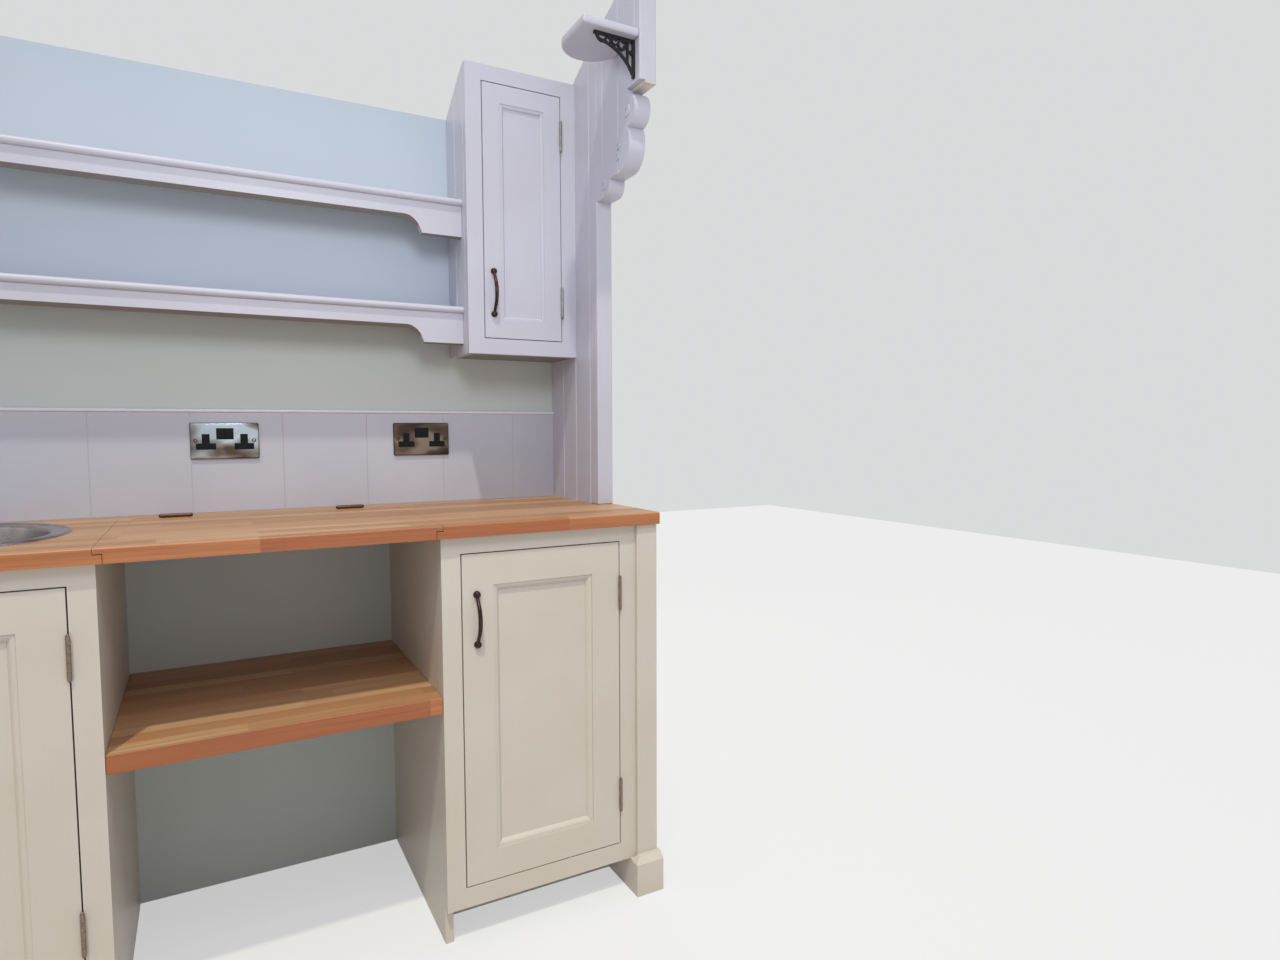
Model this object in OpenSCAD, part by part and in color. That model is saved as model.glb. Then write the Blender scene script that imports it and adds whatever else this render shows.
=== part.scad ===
// Fitted kitchenette of a shepherd's hut: worktop run, wall shelves, wall
// cupboard and the boarded end partition, on its lined back wall.
// Millimetres. +Z up, the front faces -Y, origin under the middle of the box.

/* [Run of base units] */
// Width of the sink unit's face frame
sink_unit_w = 544; // [440:1:640]
// Clear width of the bay for a cooker and a cold box
bay_w = 590; // [480:1:700]
// Width of the right-hand unit's face frame
right_unit_w = 460; // [380:1:560]
// Depth from the wall to the front of the face frames
frame_d = 521; // [470:1:600]
// Height of the worktop's upper face
top_h = 920; // [860:1:960]
// Thickness of the worktop
top_t = 28; // [22:1:40]
// How far the worktop runs past the face frames
top_nose = 19; // [12:1:30]
// How far the worktop runs past the end posts
top_end = 3; // [1:1:10]
// Radius of the worktop's upper front edge
top_round = 4; // [2:1:8]

/* [Worktop flap over the bay] */
// Distance from the wall to the flap's hinge line
flap_hinge_d = 72; // [66:1:80]
// Width of the ledges under the flap's ends
flap_lap = 14; // [12:1:20]
// Thickness of the flap's lips that rest on the ledges
flap_lip_t = 12; // [9:1:15]
// Clearance between a lip and its ledge
flap_seat = 0.3; // [0.2:0.1:0.6]
// Length of a flap hinge
flap_butt_l = 60; // [50:1:76]
// Distance of the flap hinges from the flap's ends
flap_butt_inset = 75; // [50:1:110]

/* [Cabinet boards] */
// Thickness of face frames and doors
frame_t = 22; // [18:1:28]
// Thickness of sides, floors and inner shelves
board_t = 18; // [15:1:22]
// Width of a face frame's stiles
stile_w = 40; // [34:1:50]
// Height of a face frame's bottom rail
rail_low_h = 43; // [34:1:55]
// Height of a face frame's top rail
rail_top_h = 35; // [28:1:45]
// Height of the underside of the face frames above the floor
toe_h = 81; // [60:1:110]
// How far the kick board stands behind the face frame's front
kick_back = 116; // [60:1:180]

/* [Doors] */
// Gap round each door and round the worktop flap
door_gap = 5; // [4:0.5:7]
// Width of the stiles and rails of the base doors
door_member_w = 68; // [55:1:80]
// Width of the stiles and rails of the wall cupboard door
wall_member_w = 45; // [35:1:55]
// Depth from the door's face to its panel
panel_recess = 9; // [6:0.5:12]
// Thickness of the door panels
panel_t = 9; // [6:0.5:11]
// Width of the moulding round each panel
moulding_w = 11; // [8:1:16]
// Width of the small steps in that moulding
moulding_step = 1; // [0.5:0.1:1.3]
// Set-back of the door's free edge at its back
lead_bevel = 2; // [0:0.5:4]

/* [Hinges] */
// Length of a butt hinge
butt_h = 76; // [60:1:90]
// Distance of the base hinges from the door's ends
butt_inset = 80; // [50:1:120]
// Distance of the wall cupboard hinges from the door's ends
wall_butt_inset = 62; // [40:1:100]
// Radius of the hinge knuckle
knuckle_r = 4.5; // [3.5:0.1:5]
// Radius of the hinge pin
pin_r = 2; // [1.5:0.1:2.5]
// Running clearance round the hinge pin
pin_fit = 0.06; // [0.03:0.01:0.1]
// Distance of the hinge pin in front of the door's face
pin_out = 4.5; // [4:0.5:6]
// Thickness of a hinge leaf
leaf_t = 2; // [1.2:0.1:2.2]
// Gap between neighbouring knuckles
knuckle_gap = 0.5; // [0.3:0.1:1]

/* [Handles] */
// Distance between the two feet of a bow handle
bow_span = 108; // [90:1:128]
// How far a bow handle stands out from the door
bow_out = 29; // [22:1:34]
// Radius of the bow's bar
bow_r = 4.2; // [3.5:0.1:5]
// Radius of the bar beside the feet
bow_neck_r = 3.4; // [2.8:0.1:3.4]
// Radius of the hollow bend beside each foot
bow_bend_r = 30; // [20:1:36]
// Radius of the round feet
bow_foot_r = 8; // [7:0.5:10]
// Distance of the base handles from the middle of their stile
handle_shift = 4; // [0:1:12]
// Height of the middle of the base handles
bow_mid_h = 712; // [500:1:740]
// Height of the middle of the wall cupboard handle
wall_bow_mid_h = 1466; // [1430:1:1700]

/* [Oven shelf] */
// Height of the oven shelf's upper face
oven_shelf_h = 554; // [480:1:620]
// Thickness of the oven shelf
oven_shelf_t = 36; // [22:1:42]

/* [End partition] */
// Width of the lower end posts
post_w = 54; // [44:1:64]
// How far the lower posts stand in front of the face frames
post_out = 10; // [6:1:20]
// Thickness of the boarded partition
partition_t = 43; // [34:1:50]
// Distance from the wall to the front of the upper post
upper_d = 303; // [260:1:360]
// Depth of the upper post
upper_post_w = 44; // [36:1:60]
// Height of the underside of the header
header_h = 1911; // [1880:1:1960]
// Thickness of the moulded strip under the header
header_rail_t = 6; // [4:1:10]
// How far that strip is set in from the kitchen side
header_rail_in = 13; // [8:1:18]
// Height of the plinth blocks
plinth_h = 92; // [70:1:120]
// Thickness of the plinth blocks
plinth_t = 25; // [15:1:30]
// Thickness of the plinth's return under the units
plinth_return_t = 15; // [10:1:20]
// Width of the chamfer along the top of the plinth blocks
plinth_chamfer = 14; // [8:1:18]
// Thickness of the boards at the sink end
end_board_t = 18; // [15:1:24]

/* [Corbel] */
// Height of the corbel
corbel_h = 211; // [205:1:225]
// Reach of the corbel's top lobe from the post
corbel_d = 202; // [190:1:215]
// Radius of the top lobe
corbel_top_r = 38; // [34:1:42]
// Reach of the middle lobe
corbel_mid_d = 176; // [165:1:185]
// Radius of the middle lobe's lower part
corbel_mid_r = 55; // [50:1:60]
// Radius of the middle lobe's upper part
corbel_waist_r = 40; // [36:1:44]
// Reach of the lowest lobe
corbel_low_d = 73; // [66:1:80]
// Radius of the lowest lobe
corbel_low_r = 30; // [26:1:34]
// Height of the lowest lobe under the middle one
corbel_low_h = 37; // [34:1:45]
// Height of the neck between the header and the top lobe
corbel_neck_h = 5; // [4:1:10]
// Radius of the round eyes of the top and the lowest lobe
corbel_eye_r = 15; // [11:1:17]
// Radius of the two round buds of the middle lobe
corbel_bud_r = 11; // [8:1:13]
// How far the eyes and buds stand out
corbel_eye_out = 3; // [2:0.5:3]

/* [High shelf and its bracket] */
// Height of the high shelf's underside
high_shelf_h = 2003; // [1985:1:2012]
// Thickness of the high shelf
high_shelf_t = 18; // [14:1:22]
// Width of the high shelf
high_shelf_w = 140; // [125:1:160]
// Length of the high shelf
high_shelf_l = 176; // [150:1:200]
// Distance of the bracket's middle from the header's end
bracket_in = 26; // [18:1:40]
// Reach of the bracket under the shelf
bracket_w = 103; // [95:1:115]
// Height of the bracket down the header
bracket_h = 84; // [78:1:90]
// Width of the bracket's casting
bracket_t = 8; // [6:1:12]
// Thickness of the bracket's bars
bracket_bar = 6; // [4.5:0.5:7]
// Radius of the hollow curve of the bracket's brace
brace_r = 106; // [90:1:130]
// Distance of the brace's upper end from the arm's tip
brace_in = 14; // [8:1:20]
// Distance of that end under the arm's upper side
brace_drop = 18; // [14:1:22]
// Outer radius of the larger scroll
scroll_r = 12; // [11:0.5:13]
// Thickness of the scrolls
scroll_t = 4; // [3:0.5:5]

/* [Wall cupboard] */
// Width of the wall cupboard
wall_unit_w = 298; // [260:1:360]
// Depth of the wall cupboard
wall_unit_d = 174; // [140:1:220]
// Height of the wall cupboard's underside
wall_unit_h = 1310; // [1250:1:1400]
// Height of the wall cupboard's bottom and top rails
wall_rail_h = 38; // [30:1:48]

/* [Wall shelves] */
// Depth of the shelves
shelf_d = 138; // [110:1:180]
// Thickness of the shelves
shelf_t = 17; // [14:1:24]
// Height of the upper shelf's upper face
shelf_high = 1701; // [1620:1:1780]
// Height of the lower shelf's upper face
shelf_low = 1431; // [1340:1:1500]
// Height of the apron under each shelf
apron_h = 43; // [30:1:60]
// Height of the shaped end tabs of each apron
tab_h = 80; // [78:1:110]
// Length of the flat end of each tab
tab_w = 102; // [80:1:130]
// Radius of the apron's shaped corner
tab_r = 32; // [20:1:34]
// Width of the step between the tab and that corner
tab_step = 10; // [6:1:16]
// Thickness of the aprons
apron_t = 16; // [12:1:20]
// How far the shelf's nosing stands in front of the apron
nosing = 10; // [4:1:18]

/* [Wall, tiles and ceiling line] */
// Thickness of the wall lining
lining_t = 12; // [9:1:18]
// Depth and width of the wall studs
stud_w = 45; // [38:1:60]
// Number of wall studs
stud_n = 5; // [4:1:7]
// Thickness of the tiling
tile_t = 8; // [6:1:12]
// Height of the tiled splashback with its trim
splash_h = 247; // [180:1:260]
// Height of the trim on top of the tiles
trim_h = 8; // [5:1:12]
// Thickness of the trim on top of the tiles
trim_t = 11; // [9:1:15]
// Radius of the barrel ceiling that the tops follow
vault_r = 2030; // [1900:10:2300]
// Distance from the wall to the middle of the vault
vault_d = 1089; // [1040:1:1130]
// Height of the vault's centre line
vault_h = 228; // [200:1:260]

/* [Sockets] */
// Width of a socket plate
socket_w = 146; // [140:1:150]
// Height of a socket plate
socket_h = 86; // [80:1:90]
// Thickness of a socket plate
socket_t = 6; // [4:0.5:9]
// Height of the middle of the sockets
socket_mid_h = 1091; // [1040:1:1110]
// Distance of the left socket's middle from the bay's left side
socket_left_x = 213; // [120:1:260]
// Distance between the middles of the two sockets
socket_pitch = 465; // [400:1:520]

/* [Sink] */
// Outer radius of the sink's rim
sink_rim_r = 225; // [215:1:245]
// Height of the raised lip round the rim
sink_lip_h = 5; // [3:0.5:6]
// Width of that lip
sink_lip_w = 14; // [11:1:16]
// Inner radius of the sink's bowl
sink_bowl_r = 190; // [165:1:197]
// Depth of the sink's bowl
sink_depth = 160; // [120:1:200]
// Thickness of the sink's sheet
sink_t = 2; // [1.5:0.1:3]
// Radius between the bowl's wall and its floor
sink_round = 40; // [20:1:60]
// Distance from the wall to the middle of the sink
sink_mid_d = 268; // [258:1:280]
// Distance of the sink's middle from the unit's middle, away from the bay
sink_shift = 15; // [0:1:27]
// Radius of the waste's outlet
waste_r = 20; // [16:1:24]
// Radius of the flange of the waste
waste_flange_r = 42; // [36:1:50]
// Length of the waste's tail
waste_tail = 60; // [40:1:90]

/* [Hidden] */

$fn = 48;
eps = 0.01;

warm_white = [0.84, 0.81, 0.76];
cast_iron = [0.09, 0.08, 0.09];
cool_white = [0.84, 0.83, 0.82];
duck_egg = [0.66, 0.70, 0.69];
oak = [0.66, 0.40, 0.19];
bronze = [0.30, 0.24, 0.18];
steel = [0.68, 0.68, 0.68];
pine = [0.78, 0.64, 0.44];
tile_white = [0.88, 0.90, 0.90];

// Places along the run, from the left end to the right end
run_w = 2 * post_w + sink_unit_w + bay_w + right_unit_w;
run_left = -run_w / 2;
run_right = run_w / 2;
sink_unit_x = run_left + post_w;
bay_left = sink_unit_x + sink_unit_w;
bay_right = bay_left + bay_w;
right_post_x = bay_right + right_unit_w;
partition_x = run_right - partition_t;
left_boards_x = run_left + partition_t - end_board_t;
wall_unit_x = partition_x - wall_unit_w;

// Depths from the wall's face to the front
front_post_d = frame_d + post_out;
header_d = front_post_d;
plinth_d = front_post_d + plinth_t;
top_d = frame_d + top_nose;
frame_back_d = frame_d - frame_t;
wall_y = (plinth_d - lining_t - stud_w) / 2;

// Heights
top_under = top_h - top_t;
splash_top = top_h + splash_h;
tile_top = splash_top - trim_h;
base_open_low = toe_h + rail_low_h;
base_open_top = top_under - rail_top_h;
wall_open_low = wall_unit_h + wall_rail_h;
wall_top = vault_z(wall_unit_d - frame_t);
wall_open_top = wall_top - wall_rail_h;
lining_top = vault_z(0);
header_rail_h = header_h - header_rail_t;

// Hinges and doors
leaf_w = frame_t - leaf_t;
pin_x = door_gap / 2;
leaf_clear = 0.7;

// The flap and its opening in the worktop
flap_x = [bay_left + door_gap / 2, bay_right - door_gap / 2];
flap_back_d = flap_hinge_d + door_gap / 2;

// Height of the vaulted ceiling line at a distance from the wall
function vault_z(d) = vault_h + sqrt(pow(vault_r, 2) - pow(vault_d - d, 2));

// Points of the ceiling line between two distances from the wall, as [y, z]
function vault_line(d0, d1, steps) =
    [for (i = [0 : steps]) let (d = d0 + (d1 - d0) * i / steps) [-d, vault_z(d)]];

// A slab between two places along the run, two distances from the wall and
// two heights
module slab(x, d, z) {
    translate([x[0], wall_y - d[1], z[0]])
        cube([x[1] - x[0], d[1] - d[0], z[1] - z[0]]);
}

// An outline of [y, z] points from the wall's face, run along X
module along_run(x0, x1) {
    translate([x0, wall_y, 0]) rotate([90, 0, 90]) linear_extrude(x1 - x0) children();
}

// A slab whose top follows the vaulted ceiling
module vaulted_slab(x0, x1, d0, d1, z0) {
    along_run(x0, x1)
        polygon(concat(vault_line(d0, d1, 8), [[-d1, z0], [-d0, z0]]));
}

// Back wall

module back_wall() {
    color(duck_egg) slab([run_left, run_right], [-lining_t, 0], [0, lining_top]);
}

module wall_studs() {
    pitch = (run_w - stud_w) / (stud_n - 1);
    back = [-lining_t - stud_w, -lining_t];
    color(pine) union() {
        for (i = [0 : stud_n - 1])
            slab([run_left + i * pitch, run_left + i * pitch + stud_w], back,
                [0, lining_top]);
        for (z = [0, lining_top - stud_w])
            slab([run_left, run_right], back, [z, z + stud_w]);
    }
}

module splashback() {
    color(tile_white) slab([run_left, partition_x], [0, tile_t], [top_h, tile_top]);
}

module tile_trim() {
    color(steel) slab([run_left, partition_x], [0, trim_t], [tile_top, splash_top]);
}

// A twin socket plate with two rockers, its middle at x
module socket(x) {
    rocker_w = 13;
    rocker_h = 22;
    color(steel) translate([x, wall_y - tile_t, socket_mid_h]) rotate([90, 0, 0]) {
        hull() {
            linear_extrude(socket_t - 2)
                offset(3, $fn = 16) square([socket_w - 6, socket_h - 6], center = true);
            linear_extrude(socket_t)
                offset(3, $fn = 16) square([socket_w - 10, socket_h - 10], center = true);
        }
        for (side = [-1, 1])
            translate([side * 14 - rocker_w / 2, 10, 0]) cube([rocker_w, rocker_h, socket_t + 2]);
    }
}

module socket_left() {
    socket(bay_left + socket_left_x);
}

module socket_right() {
    socket(bay_left + socket_left_x + socket_pitch);
}

// Worktop and sink

sink_x = sink_unit_x + sink_unit_w / 2 - sink_shift;
sink_hole_r = sink_bowl_r + sink_t + 6;

// Outline of the worktop from the distance d0 to its rounded front edge
module worktop_outline(d0) {
    difference() {
        translate([-top_d, top_under]) square([top_d - d0, top_t]);
        translate([-top_d, top_h]) difference() {
            translate([-eps, -top_round]) square([top_round + eps, top_round + eps]);
            translate([top_round, -top_round]) circle(top_round);
        }
    }
}

module worktop() {
    open_d = [flap_hinge_d - door_gap / 2, top_d + 1];
    color(oak) difference() {
        along_run(run_left - top_end, run_right + top_end) worktop_outline(0);
        translate([sink_x, wall_y - sink_mid_d, top_under - 1])
            cylinder(r = sink_hole_r, h = top_t + 2, $fn = 96);
        // The flap's opening, with a ledge left at each end
        slab([flap_x[0] - door_gap, flap_x[1] + door_gap], open_d,
            [top_h - flap_lip_t - flap_seat, top_h + 1]);
        slab([flap_x[0] - door_gap + flap_lap, flap_x[1] + door_gap - flap_lap], open_d,
            [top_under - 1, top_h]);
    }
}

module worktop_flap() {
    ledge_d = [0, top_d + 1];
    ledge_z = [top_under - 1, top_h - flap_lip_t];
    color(oak) difference() {
        along_run(flap_x[0], flap_x[1]) worktop_outline(flap_back_d);
        slab([flap_x[0] - 1, flap_x[0] + flap_lap], ledge_d, ledge_z);
        slab([flap_x[1] - flap_lap, flap_x[1] + 1], ledge_d, ledge_z);
    }
}

// The two halves of one kind of the flap's pair of butt hinges
module flap_butt_pair(fixed) {
    for (right = [flap_x[0] + flap_butt_inset + flap_butt_l, flap_x[1] - flap_butt_inset])
        translate([right, wall_y - flap_hinge_d, top_h + pin_out])
            rotate([-90, 0, 90]) butt_half(fixed, flap_butt_l);
}

module flap_leaves() {
    color(bronze) flap_butt_pair(false);
}

module sink_bowl() {
    ro = sink_bowl_r + sink_t;
    color(steel) translate([sink_x, wall_y - sink_mid_d, top_h])
        rotate_extrude($fn = 96) {
            // Rim that rests on the worktop, with its raised lip
            translate([sink_bowl_r, 0])
                square([sink_rim_r - sink_lip_w / 2 - sink_bowl_r, sink_t]);
            translate([sink_rim_r, 0])
                polygon([[0, 0], [-sink_lip_w * 0.3, sink_lip_h], [-sink_lip_w * 0.5, sink_lip_h],
                    [-sink_lip_w, sink_t], [-sink_lip_w, 0]]);
            // Wall of the bowl
            translate([sink_bowl_r, -sink_depth + sink_round])
                square([sink_t, sink_depth - sink_round + eps]);
            // Round between the wall and the floor
            translate([sink_bowl_r - sink_round, -sink_depth + sink_round])
                intersection() {
                    difference() {
                        circle(sink_round + sink_t);
                        circle(sink_round);
                    }
                    translate([0, -sink_round - sink_t])
                        square([sink_round + sink_t, sink_round + sink_t]);
                }
            // Floor, open at the waste
            translate([waste_r + 2, -sink_depth - sink_t])
                square([sink_bowl_r - sink_round - waste_r - 2 + eps, sink_t]);
        }
}

module sink_waste() {
    nut_h = 16;
    strainer_t = 5;
    tail_z = -sink_t - waste_tail;
    color(steel) translate([sink_x, wall_y - sink_mid_d, top_h - sink_depth])
        difference() {
            union() {
                cylinder(r = waste_flange_r, h = sink_t);
                translate([0, 0, tail_z]) cylinder(r = waste_r + 1.8, h = -tail_z + 1);
                translate([0, 0, -sink_t - nut_h]) cylinder(r = waste_r + 12, h = nut_h);
            }
            translate([0, 0, tail_z - 1]) cylinder(r = waste_r - 1.5, h = waste_tail + 1 - strainer_t);
            for (a = [0 : 60 : 300])
                rotate(a) translate([waste_r * 0.55, 0, -nut_h])
                    cylinder(r = waste_r / 5, h = nut_h + 2 * sink_t, $fn = 24);
        }
}

// Base units

// A face frame with one doorway
module face_frame(x, d, z, rails) {
    difference() {
        slab(x, d, z);
        slab([x[0] + stile_w, x[1] - stile_w], [d[0] - 1, d[1] + 1],
            [z[0] + rails[0], z[1] - rails[1]]);
    }
}

// A splayed bead along one side of a panel opening, mitred at both ends.
// It runs along X from 0 to length, with the door's frame at y below 0.
module bead(length) {
    w = moulding_w;
    h = panel_recess;
    s = moulding_step;
    intersection() {
        rotate([90, 0, 90]) linear_extrude(length)
            polygon([[0, 0], [0, h - s], [2 * s, h - s], [3 * s, h - 3 * s],
                [w - 3 * s, 2.5 * s], [w - 3 * s, 1.5 * s], [w, s], [w, 0]]);
        translate([0, 0, -1]) linear_extrude(h + 2)
            polygon([[0, 0], [length, 0], [length - w, w], [w, w]]);
    }
}

// A framed door with a recessed panel. Its lower left front corner is at
// x, at the height z, with its face at the distance d from the wall.
module framed_door(x, w, d, z, h, member_w) {
    iw = w - 2 * member_w;
    ih = h - 2 * member_w;
    translate([x, wall_y - d, z]) {
        difference() {
            linear_extrude(h)
                polygon([[0, 0], [w, 0], [w, frame_t], [lead_bevel, frame_t]]);
            translate([member_w, -1, member_w]) cube([iw, panel_recess + 1, ih]);
            translate([member_w, panel_recess + panel_t, member_w])
                cube([iw, frame_t - panel_recess - panel_t + 1, ih]);
        }
        translate([member_w, panel_recess, member_w]) rotate([90, 0, 0]) {
            bead(iw);
            translate([iw, 0, 0]) rotate(90) bead(ih);
            translate([iw, ih, 0]) rotate(180) bead(iw);
            translate([0, ih, 0]) rotate(-90) bead(ih);
        }
    }
}

// A bow handle, upright, its middle at x and z on a face at d from the wall.
// Its bar leaves each foot along the door, bends outwards and bows over.
module bow_handle(x, d, z) {
    start_h = bow_foot_r / 2 + 1;
    rise = bow_out - bow_r - start_h;
    turn = 2 * atan(2 * rise / bow_span);
    overlap = 3;
    bow_mid_r = bow_span / 2 / sin(turn) - bow_bend_r;
    color(bronze) translate([x, wall_y - d, z]) rotate([90, 0, 0]) {
        for (side = [-1, 1]) mirror([0, side > 0 ? 0 : 1, 0]) translate([0, bow_span / 2, 0]) {
            // Round foot on its plate
            cylinder(r = bow_foot_r, h = 2);
            intersection() {
                translate([0, 0, start_h - 1]) sphere(bow_foot_r - 0.6);
                cylinder(r = bow_foot_r, h = bow_out);
            }
            // Hollow bend beside the foot, let into the end of the bow
            translate([0, 0, start_h + bow_bend_r]) rotate([0, 90, 0]) rotate(-turn - overlap)
                rotate_extrude(angle = turn + overlap, $fn = 96) translate([bow_bend_r, 0])
                    circle(bow_neck_r, $fn = 24);
        }
        translate([0, 0, bow_out - bow_r - bow_mid_r]) rotate([0, 90, 0]) rotate(180 - turn)
            rotate_extrude(angle = 2 * turn, $fn = 96) translate([bow_mid_r, 0])
                circle(bow_r, $fn = 24);
    }
}

// Half of a butt hinge, its pin's foot at the origin and the leaf running
// back along +Y. The fixed half holds the pin and the odd knuckles.
module butt_half(fixed, length = butt_h) {
    pitch = length / 5;
    leaf_side = fixed ? pin_x - leaf_t : -pin_x;
    leaf_front = knuckle_r + leaf_clear;
    difference() {
        union() {
            translate([leaf_side, leaf_front, 0])
                cube([leaf_t, pin_out + leaf_w - leaf_front, length]);
            for (i = fixed ? [0, 2, 4] : [1, 3]) {
                z0 = i * pitch + (i > 0 ? knuckle_gap / 2 : 0);
                z1 = (i + 1) * pitch - (i < 4 ? knuckle_gap / 2 : 0);
                translate([0, 0, z0]) {
                    cylinder(r = knuckle_r, h = z1 - z0);
                    translate([leaf_side, 0, 0]) cube([leaf_t, leaf_front + eps, z1 - z0]);
                }
            }
        }
        if (!fixed) translate([0, 0, -1]) cylinder(r = pin_r + pin_fit, h = length + 2);
    }
    if (fixed) {
        cylinder(r = pin_r, h = length);
        for (z = [0, length]) translate([0, 0, z]) sphere(knuckle_r - leaf_clear, $fn = 24);
    }
}

// The two halves of one kind of a door's pair of butt hinges
module butt_pair(door_right, d, z, h, inset, fixed) {
    for (low = [z + inset, z + h - inset - butt_h])
        translate([door_right + pin_x, wall_y - d - pin_out, low]) butt_half(fixed);
}

left_door_x = [sink_unit_x + stile_w + door_gap, bay_left - stile_w - door_gap];
right_door_x = [bay_right + stile_w + door_gap, right_post_x - stile_w - door_gap];
base_door_z = base_open_low + door_gap;
base_door_h = base_open_top - base_open_low - 2 * door_gap;
handle_in = door_member_w / 2 - handle_shift;

module left_end_post() {
    color(warm_white)
        slab([run_left, sink_unit_x], [front_post_d - post_w, front_post_d], [0, top_under]);
}

module left_end_boards() {
    color(warm_white)
        slab([left_boards_x, left_boards_x + end_board_t], [0, front_post_d - post_w],
            [0, top_under]);
}

module left_bay_side() {
    color(warm_white) slab([bay_left - board_t, bay_left], [0, frame_back_d], [0, top_under]);
}

module left_face_frame() {
    color(warm_white) face_frame([sink_unit_x, bay_left], [frame_back_d, frame_d],
        [toe_h, top_under], [rail_low_h, rail_top_h]);
}

module left_door() {
    color(warm_white) framed_door(left_door_x[0], left_door_x[1] - left_door_x[0], frame_d,
        base_door_z, base_door_h, door_member_w);
}

module left_door_handle() {
    bow_handle(left_door_x[0] + handle_in, frame_d, bow_mid_h);
}

module left_door_leaves() {
    color(bronze)
        butt_pair(left_door_x[1], frame_d, base_door_z, base_door_h, butt_inset, false);
}

module right_bay_side() {
    color(warm_white) slab([bay_right, bay_right + board_t], [0, frame_back_d], [0, top_under]);
}

module right_face_frame() {
    color(warm_white) face_frame([bay_right, right_post_x], [frame_back_d, frame_d],
        [toe_h, top_under], [rail_low_h, rail_top_h]);
}

module right_door() {
    color(warm_white) framed_door(right_door_x[0], right_door_x[1] - right_door_x[0], frame_d,
        base_door_z, base_door_h, door_member_w);
}

module right_door_handle() {
    bow_handle(right_door_x[0] + handle_in, frame_d, bow_mid_h);
}

module right_door_leaves() {
    color(bronze)
        butt_pair(right_door_x[1], frame_d, base_door_z, base_door_h, butt_inset, false);
}

// The fixed leaves of the base doors' and the flap's hinges
module base_frame_leaves() {
    color(bronze) {
        for (x = [left_door_x[1], right_door_x[1]])
            butt_pair(x, frame_d, base_door_z, base_door_h, butt_inset, true);
        flap_butt_pair(true);
    }
}

// The floors of the two base cupboards, each cut round its end post
module cupboard_floors() {
    z = [base_open_low - board_t, base_open_low];
    behind_post = [0, front_post_d - post_w];
    color(warm_white) {
        slab([sink_unit_x, bay_left - board_t], [0, frame_back_d], z);
        slab([left_boards_x + end_board_t, sink_unit_x + eps], behind_post, z);
        slab([bay_right + board_t, right_post_x], [0, frame_back_d], z);
        slab([right_post_x - eps, partition_x], behind_post, z);
    }
}

module kick_boards() {
    kick_d = [frame_d - kick_back - board_t, frame_d - kick_back];
    color(warm_white) {
        slab([sink_unit_x + plinth_return_t, bay_left - board_t], kick_d,
            [0, base_open_low - board_t]);
        slab([bay_right + board_t, right_post_x - plinth_return_t], kick_d,
            [0, base_open_low - board_t]);
    }
}

module oven_shelf() {
    color(oak) slab([bay_left, bay_right], [0, frame_d - 2],
        [oven_shelf_h - oven_shelf_t, oven_shelf_h]);
}

// End partition

module partition_lower_boards() {
    color(warm_white) slab([partition_x, run_right], [0, front_post_d - post_w], [0, top_under]);
}

module partition_lower_post() {
    color(warm_white) slab([right_post_x, run_right], [front_post_d - post_w, front_post_d],
        [0, top_under]);
}

module partition_upper_boards() {
    color(cool_white)
        vaulted_slab(partition_x, run_right, 0, upper_d - upper_post_w, top_h);
}

module partition_upper_post() {
    color(cool_white)
        vaulted_slab(partition_x, run_right, upper_d - upper_post_w, upper_d, top_h);
}

module header_boards() {
    color(cool_white)
        vaulted_slab(partition_x, run_right, upper_d, header_d, header_h);
}

// The strip under the header in front of the corbel, with a rounded edge on
// the kitchen side
module header_rail() {
    x0 = partition_x + header_rail_in;
    start_d = upper_d + corbel_top_mid[0];
    color(cool_white)
        translate([0, wall_y - start_d, header_rail_h]) rotate([90, 0, 0])
            linear_extrude(header_d - start_d) {
                translate([x0 + header_rail_t, 0])
                    square([run_right - x0 - header_rail_t, header_rail_t]);
                intersection() {
                    translate([x0 + header_rail_t, header_rail_t]) circle(header_rail_t);
                    translate([x0, 0]) square(header_rail_t);
                }
            }
}

// Middles of the corbel's lobes, [distance from the post, height from its top]
corbel_top_mid = [corbel_d - corbel_top_r, -corbel_neck_h - corbel_top_r];
corbel_mid_mid = [corbel_mid_d - corbel_mid_r, -corbel_h + corbel_low_h + corbel_mid_r];
corbel_waist_mid = [corbel_mid_d - corbel_waist_r, corbel_top_mid[1] - corbel_top_r
    + (corbel_mid_mid[1] - corbel_top_mid[1] + corbel_top_r) * 2 / 3];
corbel_low_mid = [corbel_low_d - corbel_low_r, -corbel_h + corbel_low_r];

// A lobe of the corbel with the wood between it and the post
module corbel_lobe(mid, r) {
    translate(mid) circle(r);
    translate([0, mid[1]]) square([mid[0], r]);
}

// Outline of the scrolled corbel, whose flat part reaches up to the header
module corbel_outline() {
    translate([0, corbel_top_mid[1]])
        square([corbel_top_mid[0], header_rail_t - corbel_top_mid[1]]);
    corbel_lobe(corbel_top_mid, corbel_top_r);
    corbel_lobe(corbel_waist_mid, corbel_waist_r);
    corbel_lobe(corbel_mid_mid, corbel_mid_r);
    corbel_lobe(corbel_low_mid, corbel_low_r);
    translate([0, corbel_mid_mid[1] - corbel_mid_r]) square([corbel_mid_mid[0], corbel_mid_r]);
    translate([0, -corbel_h]) square([corbel_low_mid[0], corbel_low_r + eps]);
    translate([0, corbel_waist_mid[1]])
        square([corbel_waist_mid[0] + corbel_waist_r / 2,
            corbel_top_mid[1] - corbel_waist_mid[1] + eps]);
}

// The eyes and buds of the corbel's lobes, [place, radius]
corbel_eyes = [
    [corbel_top_mid, corbel_eye_r],
    [corbel_mid_mid + [0, corbel_bud_r], corbel_bud_r],
    [corbel_mid_mid - [corbel_bud_r / 2, corbel_bud_r + 2], corbel_bud_r],
    [corbel_low_mid, corbel_eye_r - 2]
];

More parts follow.
